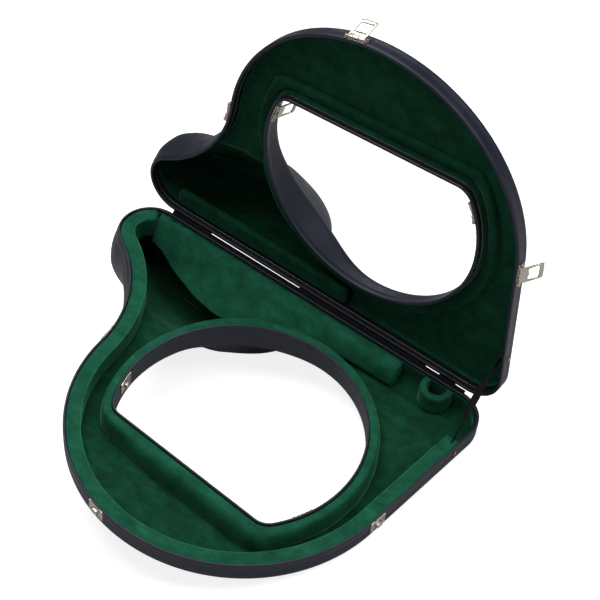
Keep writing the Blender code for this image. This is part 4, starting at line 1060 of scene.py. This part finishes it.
def build_socket():
    """The padded mouthpiece socket: rounded sections carried along a U, an arc with two short legs."""
    wall_y = BACK_Y - PAD_FACE
    centre_y = wall_y - HOLDER_LEG
    near = LOWER_DEPTH - LOWER_EDGE_R
    turn = -np.linspace(0.0, math.pi, 60)
    leg = np.linspace(wall_y, centre_y, 6)[:-1]
    across = np.concatenate([np.ones(5), np.cos(turn), -np.ones(5)])
    out = np.concatenate([np.zeros(5), np.sin(turn), np.zeros(5)])
    from_y = np.concatenate([leg, np.full(60, centre_y), leg[::-1]])

    def row(radius, depth, deeper):
        y = from_y + radius * out
        share = np.clip((wall_y - y) / HOLDER_DEPTH_RUN, 0.0, 1.0)
        return spots(HOLDER_X + radius * across, y, depth + deeper * share)

    deeper = HOLDER_FRONT_DEPTH - near
    corners = np.stack([row(HOLDER_BORE_R, PAD_TOP, 0.0), row(HOLDER_R - 0.6, PAD_TOP, 0.0),
                        row(HOLDER_R, near, deeper), row(HOLDER_BORE_R + 0.8, near, deeper)], axis=1)
    sections = rounded_sections(corners, np.array([5.0, 5.0, 1.5, 1.5]), 8, 6)
    sections = dome_ends(ripple(sections, False, 0.6), 0.4, 3)
    cushion("mouthpiece_socket", sections, False, LOWER, "mouthpiece_holder")


def build_gusset():
    """The leatherette strip that joins the rims along the spine. From the lower rim it turns round the hinge
    line in an arc and stands on the lid's rim. At the gaps it stops short and light shows through."""
    x = np.linspace(SHOULDER_X + 1.0, CORNER_X + 1.0, 700)
    gaps = [smooth_step((x - first) / GAP_FADE) * smooth_step((last - x) / GAP_FADE)
            for first, last in LIGHT_GAPS]
    gap = np.max(gaps, axis=0)[:, None]
    share = np.linspace(0.0, 1.0, 16)
    turn = math.pi + (GUSSET_END + (GUSSET_SHORT - GUSSET_END) * gap - math.pi) * share
    wave = 0.08 * np.sin(x / 3.1 + np.sin(x / 11.0))[:, None]

    def skin(lift):
        radius = GUSSET_R + lift + wave * share * (1 - share) * 4
        arc = spots(x[:, None], HINGE_Y + radius * np.cos(turn), radius * np.sin(turn))
        flat = spots(x[:, None], np.linspace(*GUSSET_FLAT, 5), lift - GUSSET_THICK)
        rise = spots(x[:, None], HINGE_Y + GUSSET_OFF_LID - lift, np.linspace(*GUSSET_RISE, 5))
        rise = rise + (arc[:, -1:] - rise) * gap[..., None]
        return np.concatenate([flat, arc, rise], axis=1)

    sections = flat_ends(np.concatenate([skin(GUSSET_THICK), skin(0.0)[:, ::-1]], axis=1))
    # Its darker covering is painted shade of the gap between the rims.
    made = surface("spine_gusset", [grid_shape(sections)], to_world, [GUSSET_SHADED_CLOTH], None)
    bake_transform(made)


def build_lid_beads():
    """The piping on the lid's bare walls: a round bead along the outer wall and one along the hole's wall."""
    faces = LID.skin(WALL + BEAD_R * 0.4)
    beads = [rings_about(faces[:, column], LID.normals[:, column], UP, BEAD_R, 12) for column in (1, -2)]
    surface("lid_piping", [grid_shape(bead, True) for bead in beads], LID.place, [LACQUER], "lid")


def hardware(name, shapes, place, body, node=None, finish=NICKEL):
    """A piece made of small metal shapes."""
    surface(name, shapes, place, [finish], body, node, weld=True)


def build_ribbon():
    """The stay strap: a band of webbing whose width turns half a turn about its run, by pi smooth_step(s)."""
    slope = SIDE_NORMAL[1] / SIDE_NORMAL[0]
    wall_x = SIDE_POINT[0] + (SIDE_POINT[1] + BACK_Y - STRAP_Y) * slope
    inner = wall_x - (LINING_TOP_FACE + STRAP_OFF_LINING) / SIDE_NORMAL[0] - STRAP_THICK / 2
    low = np.array([inner, STRAP_Y, -STRAP_LOW_DEPTH])
    high = open_lid(np.array([inner - STRAP_LID_LEAN, STRAP_Y, STRAP_LID_DEPTH]))
    run = unit(high - low)
    flat = unit(np.cross(np.array([1.0, 0.0, 0.0]), run))
    face = np.cross(run, flat)
    s = np.linspace(-STRAP_PAST, 1 + STRAP_PAST, 110)[:, None]
    twist = math.pi * smooth_step((s - TWIST_FROM) / TWIST_RUN)
    sag = 4 * np.clip(s * (1 - s), 0, None)
    middle = low + (high - low) * s + np.array([-STRAP_SAG, 0.0, 0.0]) * sag - run * (STRAP_SLACK * sag)
    width = flat * np.cos(twist) + face * np.sin(twist)
    normal = -flat * np.sin(twist) + face * np.cos(twist)
    across = np.linspace(-1.0, 1.0, 9)
    thick = STRAP_THICK / 2 * (1 - 0.6 * across ** 8)
    curl = STRAP_CURL * (across ** 2 - 0.4)

    def skin(sign):
        lift = sign * thick + curl * np.sin(twist)
        spread = width[:, None] * (across * STRAP_W / 2)[:, None]
        return middle[:, None] + spread + normal[:, None] * lift[..., None]

    sections = flat_ends(np.concatenate([skin(1.0), skin(-1.0)[:, ::-1]], axis=1))
    u = np.concatenate([across, across[::-1]])
    v = np.concatenate([s[:1], s, s[-1:]])
    uv = spots(u * 0.5, v * 9.0).reshape(-1, 2)
    made = surface("stay_ribbon", [grid_shape(sections)], to_world, [WEBBING], None, "stay_strap",
                   uv=uv)
    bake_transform(made)
    inward = np.array([-1.0, 0.0, 0.0])
    turn = np.stack([unit(np.cross(run, inward)), inward, run])
    points, quads = dome(3.4, 1.6)
    for name, body, spot in (("stay_rivet_inner_lower", "case", low), ("stay_rivet_inner_lid", "lid", high)):
        head = spot + inward * STRAP_THICK / 2 + points @ turn
        hardware(name, [(head, quads)], to_world, body)


def loop(half_x, half_z, power, count, centre=(0.0, 0.0)):
    """A rounded rectangle: |x / half_x|^power + |z / half_z|^power = 1 about a centre."""
    way = directions((np.arange(count) + 0.5) * TURN / count)
    return np.sign(way) * np.abs(way) ** (2 / power) * (half_x, half_z) + centre


def plate(outline, y0, y1, bevel):
    """A flat plate from an outline in X and Z: it rises along Y, with its upper edge rounded in three steps,
    and both its faces run in to the outline's middle."""
    middle = outline.mean(axis=0)
    away = outline - middle
    size = np.abs(away).max(axis=0)
    edge = ((y0, size), (y0, 0.0), (y1 - bevel, 0.0), (y1 - 0.3 * bevel, 0.3 * bevel), (y1, bevel),
            (y1, size))
    flats = [(y, middle + away * (1 - inset / size)) for y, inset in edge]
    return grid_shape(np.stack([spots(flat[:, 0], y, flat[:, 1]) for y, flat in flats]))


def window_plate(outer, inner, y0, y1, bevel):
    """A flat frame between two outlines with as many points, its four edges bevelled."""
    way = unit(inner - outer) * bevel
    rings = ((outer, y0 + bevel), (outer + way, y0), (inner - way, y0), (inner, y0 + bevel),
             (inner, y1 - bevel), (inner - way, y1), (outer + way, y1), (outer, y1 - bevel))
    return grid_shape(np.stack([spots(flat[:, 0], y, flat[:, 1]) for flat, y in rings], axis=1), True)


def dome(radius, height, centre=(0.0, 0.0, 0.0)):
    """A rivet's head on the plane Y = 0: radius cos(t) out and height sin(t) up, closed below."""
    t = np.linspace(0.0, math.pi / 2, 7)
    reach = np.append(0.0, radius * np.cos(t))[:, None]
    lift = np.append(0.0, height * np.sin(t))[:, None]
    turn = np.arange(20) * TURN / 20
    return grid_shape(spots(reach * np.cos(turn), lift, reach * np.sin(turn)) + np.array(centre))


def tube(path, radius, sides=14):
    """A round bar along a path with rounded ends: rings square to the path's direction, which shrink at the
    ends as cos t while they move on by half of radius sin t. Each point may have its own radius."""
    radius = np.broadcast_to(np.asarray(radius, float), len(path))
    run = unit(np.gradient(path, axis=0))
    aside = np.array([0.0, 1.0, 0.0]) if abs(run[0, 1]) < 0.9 else np.array([1.0, 0.0, 0.0])
    first = unit(np.cross(run, aside))
    ring = rings_about(path * 0.0, first, np.cross(run, first), 1.0, sides)
    t = np.linspace(0, math.pi / 2, 5)[1:]
    ends = []
    for k, sign in ((0, -0.5), (-1, 0.5)):
        cap = path[k] + ring[k] * (radius[k] * np.cos(t))[:, None, None]
        ends.append(cap + run[k] * (sign * radius[k] * np.sin(t))[:, None, None])
    body = path[:, None] + ring * radius[:, None, None]
    return grid_shape(np.concatenate([ends[0][::-1], body, ends[1]]))


class Latch:
    """Where a latch lies, lid shut: its own X runs along the wall, Y out of it and Z up from the rim."""

    def __init__(self, name):
        self.lever = f"latch_{name}_lever"
        joint = [item for item in frame["joints"] if item["child"] == self.lever][0]
        pos = np.array(joint["pos_m"])
        at = turn_lid(from_world(pos), -LID_OPEN)
        tip = turn_lid(from_world(pos + np.array(joint["axis"]) * 0.01), -LID_OPEN)
        along = unit(tip - at)
        out = np.array([-along[1], along[0], 0.0])
        self.rows = np.array([[along[0], along[1], 0.0], out, [0.0, 0.0, 1.0]])
        self.at = at - out * LATCH_AXIS_Y
        self.at[2] = 0.0
        self.lift = math.radians(LEVER_LIFTS[name])

    def on_case(self, points):
        """Latch coordinates in the shared frame, on the lower shell."""
        return to_world(points @ self.rows + self.at)

    def on_lid(self, points):
        """Latch coordinates in the shared frame, on the open lid."""
        return lid_to_world(points @ self.rows + self.at)

    def on_lever(self, points):
        """Lever coordinates, with Y along the lever from its axis, in the shared frame."""
        c = math.cos(self.lift)
        s = math.sin(self.lift)
        y = points[:, 1] * c - points[:, 2] * s + LATCH_AXIS_Y
        z = points[:, 1] * s + points[:, 2] * c + LATCH_AXIS_Z
        return self.on_lid(spots(points[:, 0], y, z))


def swap_axes(shape, order, shift=(0.0, 0.0, 0.0)):
    """A shape with its axes reordered and moved; the faces stay."""
    points, quads = shape
    return points[:, order] + np.array(shift), quads


def build_latch(name):
    """One latch: base with ears and rivets, window lever with a curled lip, and catch plate with its hook."""
    latch = Latch(name)
    base = [plate(loop(*BASE_HALF, 7.0, 72, (0.0, 9.3)), PLATE_FOOT, 1.6, PLATE_BEVEL)]
    for side in (-1, 1):
        ear = plate(loop(3.1, 2.9, 3.0, 32, (3.3, 3.9)), -1.2, 1.2, 0.35)
        base.append(swap_axes(ear, (1, 0, 2), (side * EAR_X, 0.0, 0.0)))
        base.append(dome(2.0, 1.0, (side * 12.2, 1.55, 12.6)))
        base.append(dome(1.6, 0.9, (side * 6.0, 1.55, 7.4)))
    base.append(tube(spots(np.linspace(-CROSS_PIN_X, CROSS_PIN_X, 9), LATCH_AXIS_Y, LATCH_AXIS_Z), 1.0))
    base.append(plate(loop(8.0, 3.4, 4.0, 48, (0.0, 11.6)), 1.5, 2.3, 0.6))
    hardware(f"latch_{name}_base_plate", base, latch.on_lid, "lid", f"latch_{name}_base")
    outer = loop(*LEVER_HALF, 8.0, 96, (0.0, LEVER_HALF[1]))
    inner = loop(*WINDOW_HALF, 6.0, 96, (0.0, 20.6))
    window = window_plate(outer, inner, -LEVER_HALF_THICK, LEVER_HALF_THICK, 0.35)
    lever = [swap_axes(window, (0, 2, 1))]
    for first, last in KNUCKLE_SPANS:
        lever.append(tube(spots(np.linspace(first, last, 6), 0.0, 0.0), 2.0, 20))
    lip = np.linspace(-LIP_X, LIP_X, 14)
    lever.append(tube(spots(lip, 34.6 + 0.6 * (1 - (lip / LIP_X) ** 2), 0.9), 1.35, 16))
    tongue = np.linspace(-TONGUE_X, TONGUE_X, 12)
    lever.append(tube(spots(tongue, 11.2 + 1.6 * (1 - (tongue / TONGUE_X) ** 2), 0.7), 1.2, 14))
    hardware(f"latch_{name}_window_lever", lever, latch.on_lever, latch.lever, latch.lever)
    catch = [plate(loop(*CATCH_HALF, 7.0, 72, (0.0, -12.0)), PLATE_FOOT, 1.5, PLATE_BEVEL)]
    for side in (-1, 1):
        catch.append(plate(loop(2.1, 2.1, 4.0, 24, (side * 12.8, -4.1)), 1.2, 2.3, 0.5))
        catch.append(dome(1.9, 1.0, (side * 11.4, 1.45, -18.2)))
    hook = loop(*HOOK_HALF, 4.0, 48)
    catch.append(grid_shape(np.stack([spots(hook[:, 0] * scale, y, hook[:, 1] * scale - 13.0)
                                      for scale, y in HOOK_RINGS])))
    hardware(f"latch_{name}_catch_plate", catch, latch.on_case, "case", f"latch_{name}_catch")
    if name.startswith("hole"):
        backs = [dome(1.5, -0.8, (side * 6.0, -WALL, 6.2)) for side in (-1, 1)]
        hardware(f"latch_{name}_rivet_backs", backs, latch.on_lid, "lid")


def build_hinges():
    """Each hinge: leaves with rounded corners and screws, knuckles that take turns, and a pin with heads."""
    leaf_y = BACK_Y + SEAT_GAP
    for number, (x0, x1) in enumerate(HINGE_SPANS, 1):
        third = (x1 - x0) / 3
        for key, body, sign, place, spans in (
                ("lower", "case", -1.0, to_world, ((x0, x0 + third), (x1 - third, x1))),
                ("lid", "lid", 1.0, lid_to_world, ((x0 + third, x1 - third),))):
            centre = ((x0 + x1) / 2, sign * (LEAF_RISE + LEAF_HEIGHT / 2))
            leaf = loop((x1 - x0) / 2, LEAF_HEIGHT / 2, 9.0, 72, centre)
            shapes = [plate(leaf, leaf_y, leaf_y + LEAF_THICK, 0.4)]
            for first, last in spans:
                web = loop((last - first) / 2 - 0.5, 2.1, 12.0, 48, ((first + last) / 2, sign * 1.8))
                shapes.append(plate(web, leaf_y, leaf_y + LEAF_THICK, 0.2))
                run = np.linspace(first + 1.5, last - 1.5, 6)
                shapes.append(tube(spots(run, HINGE_Y, 0.0), KNUCKLE_R, 20))
            for x in (x0 + third / 2, x1 - third / 2):
                for rise in (0.28, 0.76):
                    z = sign * (LEAF_RISE + LEAF_HEIGHT * rise)
                    shapes.append(dome(1.9, 0.8, (x, leaf_y + LEAF_THICK - 0.05, z)))
            name = f"hinge_{number}_{key}"
            hardware(f"{name}_plate", shapes, place, body, f"{name}_leaf", DARK_NICKEL)
        run = np.concatenate([[x0 - 0.5, x0 - 0.3], np.linspace(x0, x1, 7), [x1 + 0.3, x1 + 0.5]])
        radius = np.concatenate([[1.6, 1.6], np.full(7, 1.0), [1.6, 1.6]])
        pin = tube(spots(run, HINGE_Y, 0.0), radius)
        hardware(f"hinge_{number}_turned_pin", [pin], to_world, "case", f"hinge_{number}_pin", DARK_NICKEL)


def build_handle():
    """The bail with its covered grip, which thins to the ends, and the two mounts with wire eyes."""
    axis = np.array([0.0, HANDLE_AXIS_Y, HANDLE_AXIS_Z])
    turn = np.linspace(math.radians(-152.0), math.radians(152.0), 24)
    for number, x in enumerate(HANDLE_X, 1):
        shapes = [plate(loop(9.0, 7.5, 5.0, 64, (x, HANDLE_AXIS_Z)), BACK_Y + SEAT_GAP, 1.2, 0.4)]
        for side in (-1.8, 1.8):
            eye = spots(x + side, EYE_R * np.cos(turn), EYE_R * np.sin(turn))
            eye = np.concatenate([eye[:1] - [0, 2.4, 0], eye, eye[-1:] - [0, 2.4, 0]])
            shapes.append(tube(eye + axis, EYE_WIRE_R, 12))
        for right in (-6.2, 6.2):
            for up in (-5.0, 5.0):
                shapes.append(dome(1.5, 0.7, (x + right, 1.15, HANDLE_AXIS_Z + up)))
        hardware(f"handle_mount_{number}_plate", shapes, to_world, "case", f"handle_mount_{number}")
    first, last = HANDLE_X
    middle_x = (first + last) / 2
    bend = np.linspace(0.0, math.pi / 2, 8)
    arm = first + ARM_IN
    top = spots(arm - 3.0 * (1 - np.sin(bend)), 0.0, 3.0 * (np.cos(bend) - 1))
    foot = spots(arm + 6.0 * (1 - np.cos(bend)), 0.0, 6.0 * (1 - np.sin(bend)) - HANDLE_DROP)
    left = np.concatenate([[[first - 4.4, 0.0, 0.0], [first, 0.0, 0.0]], top, foot])
    right = left[::-1] * np.array([-1.0, 1.0, 1.0]) + np.array([first + last, 0.0, 0.0])
    wire = tube(np.concatenate([left, right]) + axis, HANDLE_WIRE_R, 18)
    hardware("handle_wire", [wire], to_world, "handle", None, DARK_NICKEL)
    share = np.linspace(-1.0, 1.0, 60)
    radius = GRIP_R - GRIP_TAPER * np.abs(share) ** 5 + 0.12 * np.cos(share * GRIP_HALF * 2.1)
    grip = [tube(spots(middle_x + share * GRIP_HALF, 0.0, -HANDLE_DROP) + axis, radius, 32)]
    for middle in np.linspace(-0.93, 0.93, STITCHES):
        x = middle_x + (middle + np.linspace(-0.012, 0.012, 3)) * GRIP_HALF
        rise = GRIP_R + 0.05 - GRIP_TAPER * abs(middle) ** 5
        grip.append(tube(spots(x, rise * 0.25, -rise * 0.97 - HANDLE_DROP) + axis, 0.3, 8))
    numbers = np.concatenate([np.full(len(shape[1]), min(k, 1)) for k, shape in enumerate(grip)])
    surface("handle_grip", grip, to_world, [HANDLE_LEATHER, WEBBING], "handle", "handle",
            numbers, weld=True)


def link(name, data):
    """A new object in the scene."""
    made = bpy.data.objects.new(name, data)
    bpy.context.scene.collection.objects.link(made)
    return made


def build_scene():
    """Camera, floor and lights."""
    right = CASE_ROWS @ unit(np.array(CAMERA_RIGHT))
    down = CASE_ROWS @ unit(np.array(CAMERA_DOWN))
    down = unit(down - right * (down @ right))
    data = bpy.data.cameras.new("camera")
    data.lens = CAMERA_LENS
    data.sensor_width = CAMERA_SENSOR
    data.clip_end = 50.0
    camera = link("camera", data)
    place = Matrix(np.stack([right, -down, -np.cross(right, down)], axis=1).tolist()).to_4x4()
    place.translation = Vector(to_world(CAMERA_AT).tolist())
    camera.matrix_world = place
    bpy.context.scene.camera = camera
    mesh = bpy.data.meshes.new("floor")
    corners = [(x * FLOOR_HALF, y * FLOOR_HALF, 0) for x, y in ((-1, -1), (1, -1), (1, 1), (-1, 1))]
    mesh.from_pydata(corners, [], [(0, 1, 2, 3)])
    floor = link("floor", mesh)
    floor.location.z = -0.0005
    white = (1.0, 1.0, 1.0, 1.0)
    made, tree, shader = node_material("pale_floor", (0.5, 0.5, 0.5), 0.9, {"Emission Color": white})
    path = tree.nodes.new("ShaderNodeLightPath")
    glow = tree.nodes.new("ShaderNodeMath")
    glow.operation = "MULTIPLY"
    glow.inputs[1].default_value = FLOOR_GLOW
    tree.links.new(path.outputs["Is Camera Ray"], glow.inputs[0])
    tree.links.new(glow.outputs[0], shader.inputs["Emission Strength"])
    mesh.materials.append(made)
    world = bpy.data.worlds.new("studio")
    world.use_nodes = True
    set_inputs(world.node_tree.nodes["Background"], {"Color": white, "Strength": WORLD_LIGHT})
    bpy.context.scene.world = world
    for name, at, size, power in LAMPS:
        data = bpy.data.lights.new(name, "AREA")
        data.size = size
        data.energy = power
        lamp = link(name, data)
        lamp.location = at
        lamp.rotation_euler = (Vector(LAMP_TARGET) - Vector(at)).to_track_quat("-Z", "Y").to_euler()
    bpy.context.scene.view_settings.view_transform = "Standard"


def dress_nodes():
    """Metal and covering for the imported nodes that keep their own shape."""
    for name, node in frame["nodes"].items():
        finish = NICKEL
        if name == "handle":
            finish = HANDLE_LEATHER
        elif name == "stay_strap":
            finish = WEBBING
        elif name.startswith("hinge"):
            finish = DARK_NICKEL
        node.data.materials.clear()
        node.data.materials.append(finish)


build_scene()
dress_nodes()
build_shell(LOWER, "lower_shell_cover", "lower_shell")
build_shell(LID, "lid_shell_cover", "lid_shell")
build_lining(LOWER, "lower_lining_velvet", "lower_lining")
build_lining(LID, "lid_lining_velvet", "lid_lining")
build_outer_cushion()
build_hole_cushion()
build_lid_hole_cushion()
build_spine_cushion()
build_lid_spine_cushion()
build_socket()
build_gusset()
build_lid_beads()
build_ribbon()
build_hinges()
build_handle()
for latch_name in LEVER_LIFTS:
    build_latch(latch_name)
